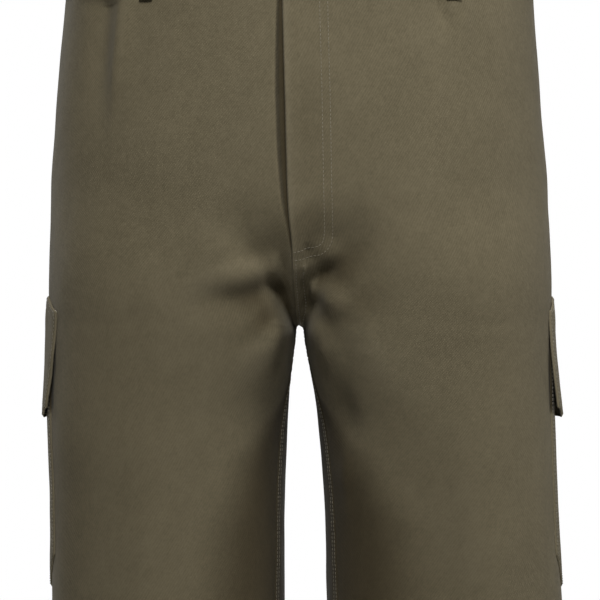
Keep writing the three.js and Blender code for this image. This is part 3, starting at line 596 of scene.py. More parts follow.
class Panel:
    """One panel of the shorts: its rows of points, from the waistband down to the hem."""

    def __init__(self, side, facing):
        self.side, self.facing = side, facing
        self.towards = 1 if facing == "front" else -1
        self.down = -np.array([z for z, inset in LEVELS if inset == 0])
        laps = (side, facing) == ("right", "front")
        rows = [self.row(z, inset, laps) for z, inset in LEVELS]
        grids = (np.array(grid) for grid in zip(*rows))
        self.far, self.smooth, self.normal, self.points, self.raised, self.shade = grids
        self.ease_under_crotch()
        heights = np.array([z if inset < 1.5 else 2 * HEM_Z - z for z, inset in LEVELS])
        self.uv = np.stack([
            WAY[side] * self.towards * self.far,
            np.repeat(heights[:, None], self.far.shape[1], axis=1),
        ], axis=-1)

    def ease_under_crotch(self):
        """Where the trunk's cloth runs into the leg, away from the seams, it bends gently."""
        z = np.array([level[0] for level in LEVELS])
        rows = np.flatnonzero(np.abs(z - CROTCH_Z) < CROTCH_REACH)
        last = self.far[:, -1].copy()
        if (self.side, self.facing) == ("right", "front"):
            last -= UNDERLAP * ease((z - FLY_END_Z) / FLY_TAPER)
        weight = {}
        for i in rows:
            room = min(last[i - 1], last[i], last[i + 1]) - self.far[i]
            weight[i] = CROTCH_PULL * fading(z[i] - CROTCH_Z, CROTCH_REACH / 2) * ease((room - 3) / 14)
        for grid in (self.points, self.smooth, self.normal):
            for _ in range(CROTCH_PASSES):
                before = grid.copy()
                for i in rows:
                    share = (z[i] - z[i - 1]) / (z[i + 1] - z[i - 1])
                    for axis in range(3 if grid is self.normal else 2):
                        above = np.interp(self.far[i], self.far[i - 1], before[i - 1, :, axis])
                        below = np.interp(self.far[i], self.far[i + 1], before[i + 1, :, axis])
                        between = above + (below - above) * share
                        grid[i, :, axis] += (between - before[i, :, axis]) * weight[i]
        self.normal /= np.linalg.norm(self.normal, axis=2, keepdims=True)

    def row(self, z, inset, laps):
        towards = self.towards
        start = towards * SIDE_SEAM
        end = reach_of(self.side, z, self.facing)
        first = [start - 1.5] if self.facing == "front" else []
        near = [start + d for d in SIDE_COLUMNS]
        last = [end - d for d in END_COLUMNS]
        count = MIDDLE_COLUMNS[self.facing]
        between = list(np.linspace(near[-1], last[0], count + 1)[1:-1])
        far = np.array(first + near + between + last)
        if laps:
            under = UNDERLAP * float(ease((z - FLY_END_Z) / FLY_TAPER))
            kept = far[far < end - 1.9]
            far = np.concatenate([kept, np.linspace(end - 1.5, end + under, 6)])
        points, normals = skin_row(self.side, z, towards * np.minimum(far, end))
        if laps and far[-1] > end:
            beyond = far > end
            left_end = reach_of("left", z, "front")
            under_points, under_normals = skin_row("left", z, left_end - (far[beyond] - end))
            points[beyond], normals[beyond] = under_points, under_normals
        d_end = np.maximum(end - far, 0)
        if z >= CROTCH_Z:
            share = leg_share(z, RISE[self.facing], 1.0)
            seam_x = centre_line(z) * (1 - share) if self.facing == "front" else 0.0
            points[far == end, 0] = seam_x
            keep = ease(d_end / 5)
            if z > CROTCH_Z:
                normals[:, 0] *= np.where(far > end, 1, keep)
            else:
                normals[:, 1] *= keep
        if z > -BAND_HEIGHT - 2:
            normals[:, 2] = 0
        normals /= np.linalg.norm(normals, axis=1, keepdims=True)
        folds = fold_push(self.side, points, normals, MAIN_FOLDS)
        fine = fold_push(self.side, points, normals, FINE_FOLDS)
        smooth = points + normals * folds[:, None]
        fine = fine + unevenness(points)
        height = sewn(self.side, self.facing, z, far - start, d_end)
        under_band = UNDER_BAND * float(ease((z + BAND_HEIGHT + 1) / 2.5))
        if laps:
            # behind the left front it comes back up to the lap's depth
            behind = ease((far - end) / 3.5)
            height = mix(height, -LAP_DIP, np.where(far > end, behind, 0))
        shaped = smooth + normals * (fine + height - inset - under_band)[:, None]
        # Painted shade: darker towards each inseam, along the crotch folds and behind the flaps' front edges
        shade = painted_inseam_shade(self.side, self.facing, z, d_end)
        kept = np.clip(fold_push(self.side, points, normals, PAINTED_SHADE_LINES), 0, 1)
        if self.facing == "front":
            kept = np.maximum(kept, painted_shade_under_flap(self.side, z, far))
        shade = 1 - (1 - shade) * (1 - kept)
        # Painted shadow in the groove beside the fly's lap
        if laps:
            wide = float(np.interp(-z, GROOVE_DOWN, GROOVE_WIDE))
            in_groove = float(fly_share(z)) * ease((wide + 1 - d_end) / (wide * 0.9))
            shade = np.maximum(shade, in_groove)
        return far, smooth + normals * fine[:, None], normals, shaped, fine + height, shade

    def at(self, z, around, grid=None):
        """The point and normal of this panel at a height and a distance round the leg."""
        grid = self.points if grid is None else grid
        far = self.towards * around
        i = clamp(int(np.searchsorted(self.down, -z)) - 1, 0, len(self.down) - 2)
        t = clamp((-z - self.down[i]) / (self.down[i + 1] - self.down[i]), 0, 1)
        found = []
        for k in (i, i + 1):
            row = self.far[k]
            j = clamp(int(np.searchsorted(row, far)) - 1, 0, len(row) - 2)
            s = clamp((far - row[j]) / (row[j + 1] - row[j]), 0, 1)
            found.append([mix(values[k, j], values[k, j + 1], s) for values in (grid, self.normal)])
        point, normal = (mix(above, below, t) for above, below in zip(*found))
        return point, normal / np.linalg.norm(normal)


PANELS = {(side, facing): Panel(side, facing) for side in SIDES for facing in FACINGS}


def on_cloth(side, z, around, smooth=False):
    panel = PANELS[side, "front" if around > SIDE_SEAM else "back"]
    return panel.at(z, around, panel.smooth if smooth else None)


# Shader maths
class Value:
    """A shader socket that Python's operators work on."""

    def __init__(self, tree, socket):
        self.tree, self.socket = tree, socket

    def maths(self, operation, *inputs):
        node = self.tree.nodes.new("ShaderNodeMath")
        node.operation = operation
        for i, given in enumerate(inputs):
            if isinstance(given, Value):
                self.tree.links.new(given.socket, node.inputs[i])
            else:
                node.inputs[i].default_value = given
        return Value(self.tree, node.outputs[0])

    def __add__(self, other):
        return self.maths("ADD", self, other)

    def __sub__(self, other):
        return self.maths("SUBTRACT", self, other)

    def __mul__(self, other):
        return self.maths("MULTIPLY", self, other)

    def __rsub__(self, other):
        return self.maths("SUBTRACT", other, self)

    __radd__, __rmul__ = __add__, __mul__

    def sine(self):
        return self.maths("SINE", self)

    def clipped(self):
        node = self.maths("MULTIPLY", self, 1.0)
        node.socket.node.use_clamp = True
        return node


class Finish:
    """A material and the nodes that it is made of."""

    def __init__(self, name, rough, sheen=0.0, metallic=0.0, specular=0.5):
        self.material = bpy.data.materials.new(name)
        self.material.use_nodes = True
        self.tree = self.material.node_tree
        self.tree.nodes.clear()
        self.shader = self.tree.nodes.new("ShaderNodeBsdfPrincipled")
        out = self.tree.nodes.new("ShaderNodeOutputMaterial")
        self.tree.links.new(self.shader.outputs[0], out.inputs[0])
        self.shader.inputs["Roughness"].default_value = rough
        self.shader.inputs["Metallic"].default_value = metallic
        self.shader.inputs["Specular IOR Level"].default_value = specular
        self.shader.inputs["Sheen Weight"].default_value = sheen
        self.shader.inputs["Sheen Roughness"].default_value = 0.5

    def node(self, kind, settings=None, out=0, **inputs):
        node = self.tree.nodes.new(kind)
        for key, value in (settings or {}).items():
            setattr(node, key, value)
        for key, given in inputs.items():
            socket = node.inputs[int(key[1:])] if key[1:].isdigit() else node.inputs[key.replace("_", " ")]
            if isinstance(given, Value):
                self.tree.links.new(given.socket, socket)
            else:
                socket.default_value = given
        return Value(self.tree, node.outputs[out])

    def noise(self, where, scale, detail=2.0, roughness=0.5):
        return self.node("ShaderNodeTexNoise", Vector=where, Scale=scale, Detail=detail, Roughness=roughness)

    def colour_mix(self, share, first, second, blend="MIX"):
        settings = {"data_type": "RGBA", "blend_type": blend, "clamp_factor": True}
        return self.node("ShaderNodeMix", settings, out=2, _0=share, _6=first, _7=second)

    def feed(self, socket, value):
        self.tree.links.new(value.socket, self.shader.inputs[socket])

    def bump(self, height, strength, distance):
        node = self.node("ShaderNodeBump", Height=height, Strength=strength, Distance=distance)
        self.feed("Normal", node)


WALE_PITCH = 1.75
WALE_SLOPE = math.radians(56)
KHAKI_DARK = (0.090, 0.075, 0.0435, 1)
KHAKI_LIGHT = (0.138, 0.116, 0.070, 1)
# Painted shade: the tint that the shade attribute multiplies the cloth's colour by
PAINTED_SHADE_TINT = (0.40, 0.37, 0.31, 1)
KHAKI_WORN = (0.178, 0.154, 0.102, 1)


def twill_finish(name, dark, light, worn):
    finish = Finish(name, 0.88, sheen=0.04, specular=0.15)
    place = finish.node("ShaderNodeTexCoord", out=3)
    uv = finish.node("ShaderNodeUVMap", {"uv_map": "cloth"})
    s = finish.node("ShaderNodeSeparateXYZ", _0=uv)
    t = Value(finish.tree, s.socket.node.outputs[1])
    wear = finish.node("ShaderNodeAttribute", {"attribute_name": "wear"}, out=2)
    drift = finish.noise(place, 60, 1.0)
    turn = 2 * math.pi * 1000 / WALE_PITCH
    wale = (s * (math.sin(WALE_SLOPE) * turn) - t * (math.cos(WALE_SLOPE) * turn) + drift * 5.0).sine()
    yarn = finish.noise(place, 1500, 1.0)
    slub = finish.noise(place, 420, 2.0)
    cloud = finish.noise(place, 16, 3.0, 0.55)
    patch = finish.noise(place, 120, 2.0)
    tone = cloud * 0.7 + patch * 0.55 + slub * 1.05 + wale * 0.2 + yarn * 0.8 - 1.02
    colour = finish.colour_mix(tone.clipped(), dark, light)
    colour = finish.colour_mix((wear * (0.6 + slub * 0.8)).clipped(), colour, worn)
    # The shade attribute darkens the colour: painted shade in creases, between the legs and under the flaps
    deep = finish.node("ShaderNodeAttribute", {"attribute_name": "shade"}, out=2)
    colour = finish.colour_mix(deep, colour, PAINTED_SHADE_TINT, "MULTIPLY")
    finish.feed("Base Color", colour)
    finish.feed("Roughness", 0.8 + yarn * 0.15)
    finish.bump(wale * 0.5 + yarn * 0.8 + slub * 0.8, 0.5, 0.00022)
    return finish.material


TWILL = twill_finish("washed_twill", KHAKI_DARK, KHAKI_LIGHT, KHAKI_WORN)


def plain_finish(name, pattern, colours, roughness=None, bump=(0.4, 0.0001), **settings):
    """A finish whose two colours are mixed by the pattern that a function of the place gives."""
    finish = Finish(name, **settings)
    place = finish.node("ShaderNodeTexCoord", out=3)
    share, raised = pattern(finish, place)
    dark, light = colours
    finish.feed("Base Color", finish.colour_mix(share, dark + (1,), light + (1,)))
    if roughness:
        finish.feed("Roughness", roughness[0] + share * roughness[1])
    finish.bump(raised, *bump)
    return finish.material


def plied(finish, place):
    ply = finish.noise(place, 2200, 1.0)
    return finish.noise(place, 30, 1.0) * 0.5 + ply * 0.5, ply


def tarnished(finish, place):
    return finish.noise(place, 300, 3.0), finish.noise(place, 1200, 2.0)


def streaked(finish, place):
    streak = finish.node("ShaderNodeTexWave", {"bands_direction": "DIAGONAL"}, Vector=place, Scale=90,
                         Distortion=7, Detail=3)
    return streak, finish.noise(place, 900, 2.0)


def ribbed(finish, place):
    rib = finish.node("ShaderNodeTexWave", {"bands_direction": "Z"}, Vector=place, Scale=320, Distortion=0.5)
    fleck = finish.noise(place, 1400, 1.0)
    return rib * 0.5 + fleck * 0.5, rib + fleck * 0.5


THREAD = plain_finish("khaki_thread", plied, ((0.12, 0.104, 0.068), (0.24, 0.215, 0.155)),
                      rough=0.6, sheen=0.2, specular=0.35)
BRASS = plain_finish("aged_brass", tarnished, ((0.3, 0.24, 0.14), (0.46, 0.38, 0.24)), (0.3, 0.3),
                     (0.15, 0.0001), rough=0.4, metallic=0.9)
HORN = plain_finish("horn_button", streaked, ((0.03, 0.022, 0.014), (0.11, 0.08, 0.05)), (0.28, 0.2),
                    (0.08, 0.0001), rough=0.35)
TAPE = plain_finish("zip_tape", ribbed, ((0.06, 0.052, 0.034), (0.115, 0.1, 0.07)),
                    bump=(0.4, 0.0002), rough=0.8, sheen=0.1, specular=0.3)


def show(name, bm, material):
    """Makes a mesh a piece of the shorts."""
    mesh = bpy.data.meshes.new(name)
    bm.to_mesh(mesh)
    bm.free()
    for polygon in mesh.polygons:
        polygon.use_smooth = True
    mesh.materials.append(material)
    piece = bpy.data.objects.new(name, mesh)
    bpy.context.scene.collection.objects.link(piece)
    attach(piece, "root")
    return piece


def thicken(piece, wall):
    solid = piece.modifiers.new("cloth", "SOLIDIFY")
    solid.thickness = wall * MM
    solid.offset = -1
    return piece


def cloth_piece(name, points, uv, outward, wear, wall, material=TWILL, shade=None):
    """A grid of cloth laid through rows of points, with its wall on the inside."""
    points, uv, outward, wear = (np.asarray(grid) for grid in (points, uv, outward, wear))
    rows, columns = points.shape[:2]
    bm = bmesh.new()
    uv_layer = bm.loops.layers.uv.new("cloth")
    wear_layer = bm.verts.layers.float.new("wear")
    # shade holds painted shade, from 0 to 1
    shade_layer = bm.verts.layers.float.new("shade")
    bmesh.ops.create_grid(bm, x_segments=columns - 1, y_segments=rows - 1, size=0.5)
    bm.verts.ensure_lookup_table()
    where = {}
    for vert in bm.verts:
        j = round((vert.co.x + 0.5) * (columns - 1))
        i = round((0.5 - vert.co.y) * (rows - 1))
        where[vert.index] = (i, j)
    for vert in bm.verts:
        i, j = where[vert.index]
        vert.co = points[i, j] * MM
        vert[wear_layer] = wear[i, j]
        vert[shade_layer] = 0.0 if shade is None else shade[i, j]
    for face in bm.faces:
        for loop in face.loops:
            i, j = where[loop.vert.index]
            loop[uv_layer].uv = uv[i, j] * MM
    bm.normal_update()
    agree = sum(face.normal.dot(Vector(outward[where[face.verts[0].index]])) for face in bm.faces)
    if agree < 0:
        bmesh.ops.reverse_faces(bm, faces=bm.faces)
    return thicken(show(name, bm, material), wall)


def panel_piece(side, facing):
    panel = PANELS[side, facing]
    d_side = panel.far - panel.towards * SIDE_SEAM
    d_end = np.abs(panel.far[:, -1:] - panel.far)
    wear = 0.35 * fading(d_side, 3) + 0.3 * fading(d_end, 4)
    wear += np.clip(panel.raised, -1, 1) * 0.12
    hem = np.array([z for z, _ in LEVELS])[:, None] - HEM_Z
    wear += 0.5 * fading(hem, 1.5)
    name = f"{facing}_panel_{side}"
    piece = cloth_piece(name, panel.points, panel.uv, panel.normal, wear, PANEL_WALL, shade=panel.shade)
    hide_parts(f"{facing}_{side}")


for key in PANELS:
    panel_piece(*key)


# Waistband
BAND_ROWS = [
    0, -0.5, -1.4, -3, -5, -9, -15, -21, -27, -33, -37, -39, -40.8, -41.7, -42.4, -42.2,
]


def band_piece(side):
    rows, uvs, normals, wears = [], [], [], []
    for z in BAND_ROWS:
        back, front = reach_of(side, z, "back"), reach_of(side, z, "front")
        around = np.concatenate([np.linspace(-back, front - 16, 150), np.linspace(front - 12, front, 9)])
        points, normal = skin_row(side, z, around)
        push = fold_push(side, points, normal, MAIN_FOLDS)
        points = points + normal * push[:, None]
        points[0, 0] = 0.0
        points[around == front, 0] = centre_line(z)
        normal[:, 2] = 0
        ends = np.minimum(ease((around + back) / 6), ease((front - around) / 6))
        normal[:, 0] *= ends
        dip = np.zeros(len(around))
        if side == "right":
            dip = BAND_DIP * ease((around - front + 16) / 13)
            more = np.linspace(6, BAND_UNDERLAP, 8)
            extra = points[-1] + np.array([[m, 0, 0] for m in more])
            points = np.concatenate([points, extra])
            normal = np.concatenate([normal, np.repeat(normal[-1:], len(more), axis=0)])
            dip = np.concatenate([dip, np.full(len(more), BAND_DIP)])
            around = np.concatenate([around, front + more])
        normal /= np.linalg.norm(normal, axis=1, keepdims=True)
        edge = min(-z, z + BAND_HEIGHT + 0.4)
        crown = 0.9 * ease(edge / 9) - 1.1 * rolled(edge, 1.5)
        if side == "left":
            crown = crown - 2.2 * rolled(front - around, 1.2)
        height = BAND_PROUD + crown - 0.25 * fading(edge - 2.6, 0.9) - dip
        height += 0.15 * np.sin(around * 0.7) * math.exp(-edge / 6)
        rows.append(points + normal * np.reshape(height, (-1, 1)))
        normals.append(normal)
        uvs.append(np.column_stack([np.full(len(around), z), WAY[side] * around]))
        wears.append(np.full(len(around), 0.5 * math.exp(-edge / 2) + 0.05))
    piece = cloth_piece(f"waistband_{side}_cloth", rows, uvs, normals, wears, BAND_WALL)
    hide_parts(f"waistband_{side}")


for side in SIDES:
    band_piece(side)


# Patch pockets and flaps
POCKET_GRID, FLAP_GRID = (80, 66), (44, 66)
POCKET_HIGH, POCKET_CROWN = 1.3, 0.5
FLAP_CLEAR, FLAP_THICK, FLARE_MORE, FLARE_POWER = 0.4, 1.2, 0.5, 1.3
PATCH_ROWS = (2.2, 8.4)
END_CROWD = 0.35


def ease_ends(t):
    """Steps that lie closer together towards both ends."""
    return t - END_CROWD * math.sin(2 * math.pi * t) / (2 * math.pi)


def stitched(edge, first, second):
    """The grooves of a patch's two rows of stitches."""
    return first * pulled(edge, PATCH_ROWS[0]) + second * pulled(edge, PATCH_ROWS[1])


def pocket_place(side, down, across):
    around = mix(POCKET_FRONT, POCKET_BACK, across)
    from_side = min(POCKET_FRONT - around, around - POCKET_BACK)
    lowest = POCKET_BOTTOM + max(POCKET_MITRE - from_side, 0)
    z = mix(POCKET_TOP, lowest, down)
    point, normal = on_cloth(side, z, around, smooth=True)
    edge = min(from_side, z - lowest)
    height = POCKET_HIGH + POCKET_CROWN * ease(edge / 12) * ease((POCKET_TOP - z) / 14)
    height -= rolled(edge, 1.3) + stitched(edge, 0.25, 0.2)
    height += 0.14 * math.sin((z + around) * 0.8) * fading(edge, 8)
    # Painted shade on the pocket where the flap covers it; the edge wear stops there too
    hidden = ease((z - FLAP_BOTTOM - 2) / 6)
    wear = 0.4 * math.exp(-edge / 1.6) * (1 - hidden)
    return point + normal * height, normal, (WAY[side] * around, z), (wear, hidden)


def flap_front(side, down):
    return mix(FLAP_FRONT_TOP[side], FLAP_FRONT, down)


def on_flap(side, around, down):
    """The cloth beneath a place on the flap, and how far the flap stands off it."""
    from_side = min(flap_front(side, down) - around, around - FLAP_BACK)
    corner = 1 - ease(from_side / FLAP_SLOPE)
    z = mix(FLAP_TOP, FLAP_BOTTOM, down) - corner * mix(FLAP_DROP, -FLAP_LIFT, down)
    point, normal = on_cloth(side, z, around, smooth=True)
    over_pocket = POCKET_HIGH * ease((FLAP_TOP - z) / (FLAP_TOP - POCKET_TOP - 3))
    over_pocket *= ease((from_side - flap_front(side, down) + POCKET_FRONT + 6) / 8)
    over_crown = POCKET_CROWN * ease((POCKET_TOP - z) / FLAP_SLOPE)
    flared = (FLAP_FLARE[side] + FLARE_MORE) * down**FLARE_POWER
    return point, normal, z, FLAP_CLEAR + FLAP_THICK + max(flared, over_pocket + over_crown), from_side


def flap_place(side, down, across):
    around = mix(flap_front(side, down), FLAP_BACK, across)
    point, normal, z, off, from_side = on_flap(side, around, down)
    length = FLAP_TOP - FLAP_BOTTOM
    edge, top = min(from_side, (1 - down) * length), down * length
    near = min(edge, top)
    height = off - 1.1 * rolled(near, 1.4) + 0.5 * ease(near / 10)
    height -= stitched(edge, 0.25, 0.22) + stitched(top, 0.25, 0.2)
    height += 0.2 * math.sin(around * 0.55) * fading(near, 8)
    return point + normal * height, normal, (WAY[side] * around, z), (0.5 * math.exp(-near / 1.6), 0)


def patch_piece(name, node, side, grid, wall, place):
    """A pocket or a flap, laid through the places that place gives with their wear and painted shade."""
    down, across = grid
    shape = (down + 1, across + 1)
    points, normals, uv, kept = (np.zeros(shape + (size,)) for size in (3, 3, 2, 2))
    for i in range(down + 1):
        for j in range(across + 1):
            laid = place(side, ease_ends(i / down), ease_ends(j / across))
            points[i, j], normals[i, j], uv[i, j], kept[i, j] = laid
    piece = cloth_piece(f"{name}_{side}", points, uv, normals, kept[..., 0], wall, shade=kept[..., 1])
    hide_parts(f"{node}_{side}")


for side in SIDES:
    patch_piece("patch_pocket", "cargo_pocket", side, POCKET_GRID, POCKET_WALL, pocket_place)
for side in SIDES:
    patch_piece("pocket_flap", "cargo_flap", side, FLAP_GRID, FLAP_WALL, flap_place)


# Belt loops
LOOP_PROFILE = [
    (-53.5, 0.9), (-52, 0.9), (-50, 0.95), (-47, 1.1), (-44, 1.7), (-41, 2.6), (-37, 3.5), (-30, 3.7),
    (-22, 3.8), (-15, 3.7), (-10, 3.5), (-6, 2.8), (-4, 2.1), (-2, 1.5), (-0.8, 1.2),
]
LOOP_WALL = 1.4
LOOP_RAISED = 1.5
LOOP_SHARES = [-0.5, -0.47, -0.42, -0.34, -0.22, 0, 0.22, 0.34, 0.42, 0.47, 0.5]


def loop_piece(name, place):
    rows, uvs, normals, wears = [], [], [], []
    for z, off in LOOP_PROFILE:
        row, out = [], []
        for share in LOOP_SHARES:
            point, normal = place(z, share * LOOP_WIDTH)
            normal = np.array([normal[0], normal[1], 0])
            normal /= np.linalg.norm(normal)
            edge = (0.5 - abs(share)) * LOOP_WIDTH
            height = off + LOOP_RAISED - rolled(edge, 1.2) - 0.25 * fading(edge - 2, 0.7)
            row.append(point + normal * height)
            out.append(normal)
        rows.append(row)
        normals.append(out)
        uvs.append([(share * LOOP_WIDTH, z) for share in LOOP_SHARES])
        wears.append([0.55 * math.exp(-(0.5 - abs(share)) * LOOP_WIDTH / 1.5) for share in LOOP_SHARES])
    piece = cloth_piece(f"loop_{name}", rows, uvs, normals, wears, LOOP_WALL)
    smooth = piece.modifiers.new("round", "SUBSURF")
    smooth.levels = smooth.render_levels = 1
    piece.modifiers.move(1, 0)
    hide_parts(f"belt_loop_{name}")


def base_point(side, z, around):
    point, normal = skin_row(side, z, np.array([around]))
    push = fold_push(side, point, normal, MAIN_FOLDS)
    return point[0] + normal[0] * push[0], normal[0]


def side_loop_place(side, around):
    return lambda z, across: base_point(side, z, around + across)


def back_loop_place(z, across):
    side = "right" if across < 0 else "left"
    return base_point(side, z, abs(across) - reach_of(side, z, "back"))


for name, place in (
    ("front_right", side_loop_place("right", LOOP_AHEAD)),
    ("front_left", side_loop_place("left", LOOP_AHEAD)),
    ("back_right", side_loop_place("right", -LOOP_BEHIND)),
    ("back_left", side_loop_place("left", -LOOP_BEHIND)),
    ("centre_back", back_loop_place),
):
    loop_piece(name, place)


# Stitching: each stitch is a small bead of thread that lies on the cloth
STITCH_PITCH = 3.0
STITCH_LONG = 1.15
STITCH_WIDE = 0.3
STITCH_HIGH = 0.26
STITCH_LIFT = 0.06
BEADS_AT_ONCE = 40


class Thread:
    def __init__(self, name):
        self.name, self.beads = name, []

    def stitch(self, start, end, normal):
        along = (end - start) / 2
        across = np.cross(normal, along)
        size = np.linalg.norm(across)
        if size < 1e-6:
            return
        across = across / size * STITCH_WIDE
        up = np.cross(along, across)
        up = up / np.linalg.norm(up) * STITCH_HIGH
        middle = (start + end) / 2 + normal * STITCH_LIFT
        columns = [across * MM, up * MM, along * MM, middle * MM]
        rows = [[float(c[k]) for c in columns] for k in range(3)]
        self.beads.append(Matrix(rows + [[0, 0, 0, 1]]))

    def run(self, places):
        """places are points and normals along a row of stitches."""
        points = np.array([p for p, _ in places])
        normals = np.array([n for _, n in places])
        reach = np.concatenate([[0], np.cumsum(np.linalg.norm(np.diff(points, axis=0), axis=1))])
        count = max(int(reach[-1] / STITCH_PITCH), 1)
        for k in range(count):
            middle = (k + 0.5) * reach[-1] / count
            ends = []
            for at in (middle - STITCH_LONG, middle + STITCH_LONG):
                ends.append(np.array([np.interp(at, reach, points[:, c]) for c in range(3)]))
            normal = np.array([np.interp(middle, reach, normals[:, c]) for c in range(3)])
            self.stitch(ends[0], ends[1], normal / np.linalg.norm(normal))

    def finish(self):
        """Makes the beads a few at a time, which is quick, and joins them."""
        whole, part = bmesh.new(), bpy.data.meshes.new("beads")
        for first in range(0, len(self.beads), BEADS_AT_ONCE):
            few = bmesh.new()
            for matrix in self.beads[first:first + BEADS_AT_ONCE]:
                bmesh.ops.create_uvsphere(few, u_segments=6, v_segments=4, radius=1, matrix=matrix)
            few.to_mesh(part)
            few.free()
            whole.from_mesh(part, face_normals=False, vertex_normals=False)
        bpy.data.meshes.remove(part)
        show(self.name, whole, THREAD)


RUN_STEP = 2.5
SEAM_TOP, SEAM_BOTTOM = -44, -574


def heights(top, bottom):
    return np.linspace(top, bottom, max(int((top - bottom) / RUN_STEP), 2))


def seam_run(side, facing, from_end, top, bottom):
    """A row of stitches down a panel, at a distance from its end."""
    panel = PANELS[side, facing]
    places = []
    for z in heights(top, bottom):
        end = reach_of(side, z, facing)
        places.append(panel.at(z, panel.towards * (end - from_end)))
    seams.run(places)


seams = Thread("seam_thread")
for side in SIDES:
    for d in FELLED["side"][-1]:
        seams.run([PANELS[side, "back"].at(z, SIDE_SEAM - d) for z in heights(SEAM_TOP, SEAM_BOTTOM)])
        seam_run(side, "front", d, CROTCH_Z - 1, SEAM_BOTTOM)
for d in FELLED["front"][-1]:
    seam_run("left", "front", d, FLY_END_Z - 8, CROTCH_Z)
for d in FELLED["seat"][-1]:
    seam_run("right", "back", d, SEAM_TOP, CROTCH_Z)


def lap_point(px, pz):
    """A place on the left front, by its distance from the lap's edge and its height."""
    return PANELS["left", "front"].at(pz, reach_of("left", pz, "front") - px)


FLY_ROWS_APART = 6.0


FLY_STITCH = [
    (34, -44), (34, -120), (33.5, -180), (33, -214), (32.4, -228), (31, -236), (28.6, -240.2),
    (25.6, -242.8), (22, -244.6), (17, -245.8), (8, -248.3), (1.5, -249.3),
]


def along_fly(shift):
    line = np.array(FLY_STITCH, float)
    reach = np.concatenate([[0], np.cumsum(np.hypot(*np.diff(line, axis=0).T))])
    places = []
    for at in np.arange(0, reach[-1], 2.0):
        here, ahead = ([np.interp(d, reach, line[:, axis]) for axis in (0, 1)] for d in (at, at + 1))
        slope = np.subtract(ahead, here)
        slope /= np.linalg.norm(slope)
        places.append(lap_point(here[0] + slope[1] * shift, here[1] - slope[0] * shift))
    return places


seams.run(along_fly(0))
seams.run(along_fly(FLY_ROWS_APART))
for side in SIDES:
    for facing in FACINGS:
        panel = PANELS[side, facing]
        z = HEM_Z + HEM_FOLD - HEM_ROW
        last = reach_of(side, z, facing)
        first = SIDE_SEAM * panel.towards
        seams.run([panel.at(z, panel.towards * far) for far in np.arange(first + 1, last - 1, RUN_STEP)])
seams.finish()

POCKET_THREAD_OFF, FLAP_THREAD_OFF = 1.55, 0.15
MITRE_SHARE = 0.4


def pocket_line(d):
    """The corners of a row of stitches down, across and up a pocket."""
    turn = POCKET_MITRE + d * MITRE_SHARE
    low, top = POCKET_BOTTOM + d, POCKET_TOP - 2
    front, back = POCKET_FRONT - d, POCKET_BACK + d
    return [
        (front, top), (front, POCKET_BOTTOM + turn), (POCKET_FRONT - turn, low), (POCKET_BACK + turn, low),
        (back, POCKET_BOTTOM + turn), (back, top),
    ]


def flap_ring(side, d):
    """A row of stitches round a flap: distances round the leg and shares down it."""
    first = d / (FLAP_TOP - FLAP_BOTTOM)
    last = 1 - first
    front, back = FLAP_FRONT - d, FLAP_BACK + d
    ring = [(flap_front(side, t) - d, t) for t in np.linspace(first, last, 30)]
    ring += [(a, last) for a in np.linspace(front, back, 60)]
    ring += [(back, t) for t in np.linspace(last, first, 30)]
    return ring + [(a, first) for a in np.linspace(back, flap_front(side, first) - d, 60)]


trim = Thread("pocket_thread")
for side in SIDES:
    for d in PATCH_ROWS:
        path, places = pocket_line(d), []
        for (a0, z0), (a1, z1) in zip(path, path[1:]):
            for t in np.linspace(0, 1, 40):
                point, normal = on_cloth(side, mix(z0, z1, t), mix(a0, a1, t), smooth=True)
                places.append((point + normal * POCKET_THREAD_OFF, normal))
        trim.run(places)
    for d in PATCH_ROWS:
        places = []
        for around, down in flap_ring(side, d):
            point, normal, _, off, _ = on_flap(side, around, down)
            places.append((point + normal * (off + FLAP_THREAD_OFF), normal))
        trim.run(places)
trim.finish()


# The zip, slider and button that the solids already show
for node, material in (("fly_zip", TAPE), ("zip_slider", BRASS), ("waist_button", HORN)):
    found = next(o for o in bpy.context.scene.objects if o.get("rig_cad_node") == node)
    for index in range(len(found.material_slots)):
        found.material_slots[index].material = material

# Camera, floor and light
CAMERA_BACK = 2.6
CAMERA_HEIGHT = -0.279
PHOTO_WIDTH = 0.468
SENSOR = 36
FLOOR_RADIUS, FLOOR_Z = 3.6, -1.0
STUDIO_LIGHT = 0.13

camera = bpy.data.cameras.new("camera")
camera.sensor_width = SENSOR
camera.lens = SENSOR * CAMERA_BACK / PHOTO_WIDTH
eye = bpy.data.objects.new("camera", camera)
eye.location = (0, -CAMERA_BACK, CAMERA_HEIGHT)
eye.rotation_euler = (math.radians(90), 0, 0)
bpy.context.scene.collection.objects.link(eye)
bpy.context.scene.camera = eye

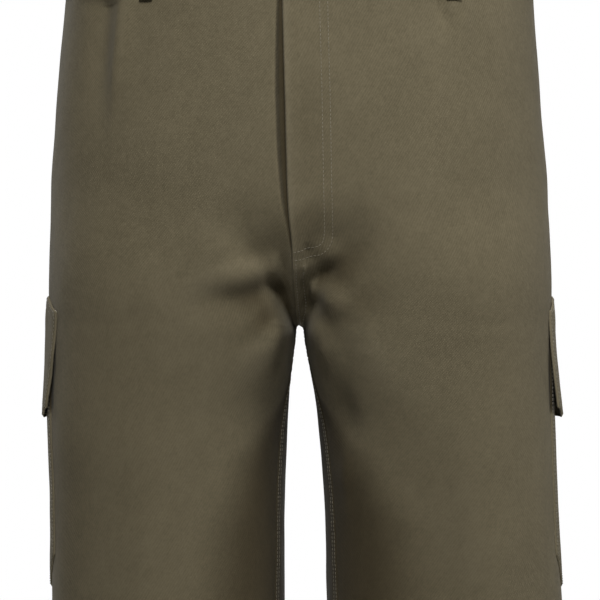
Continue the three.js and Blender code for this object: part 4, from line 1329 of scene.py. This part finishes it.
ground = bmesh.new()
bmesh.ops.create_circle(ground, cap_ends=True, segments=96, radius=FLOOR_RADIUS,
                        matrix=Matrix.Translation((0, 0, FLOOR_Z)))
ground_mesh = bpy.data.meshes.new("floor")
ground.to_mesh(ground_mesh)
ground.free()
pale = Finish("pale_floor", 0.9)
speck = pale.noise(pale.node("ShaderNodeTexCoord", out=3), 8, 3.0)
pale.feed("Base Color", pale.colour_mix(speck, (0.86, 0.86, 0.85, 1), (0.9, 0.9, 0.9, 1)))
ground_mesh.materials.append(pale.material)
floor = bpy.data.objects.new("floor", ground_mesh)
bpy.context.scene.collection.objects.link(floor)


def lamp(name, place, aim, size, power, spread=180):
    data = bpy.data.lights.new(name, "AREA")
    data.shape = "DISK"
    data.size = size
    data.energy = power
    data.spread = math.radians(spread)
    light = bpy.data.objects.new(name, data)
    light.location = place
    light.rotation_euler = (Vector(aim) - Vector(place)).to_track_quat("-Z", "Y").to_euler()
    bpy.context.scene.collection.objects.link(light)


lamp("front_soft", (0.0, -1.75, 1.65), (0.03, 0, -0.06), 0.9, 7.4, 58)
lamp("side_key", (2.6, -0.75, 0.85), (0, 0, -0.12), 0.9, 5.2, 70)
lamp("back_soft", (0.5, 2.7, 1.2), (0, 0, -0.3), 1.6, 62)
lamp("back_left_soft", (-1.7, 2.3, 0.9), (0, 0, -0.3), 1.0, 26)

world = bpy.data.worlds.new("studio")
world.use_nodes = True
bpy.context.scene.world = world
tree = world.node_tree
tree.nodes.clear()
rays, blend = tree.nodes.new("ShaderNodeLightPath"), tree.nodes.new("ShaderNodeMixShader")
output = tree.nodes.new("ShaderNodeOutputWorld")
for socket, strength in ((1, STUDIO_LIGHT), (2, 1.0)):
    glow = tree.nodes.new("ShaderNodeBackground")
    glow.inputs[0].default_value = (1, 1, 1, 1)
    glow.inputs[1].default_value = strength
    tree.links.new(glow.outputs[0], blend.inputs[socket])
tree.links.new(rays.outputs["Is Camera Ray"], blend.inputs[0])
tree.links.new(blend.outputs[0], output.inputs[0])
bpy.context.scene.view_settings.view_transform = "Standard"
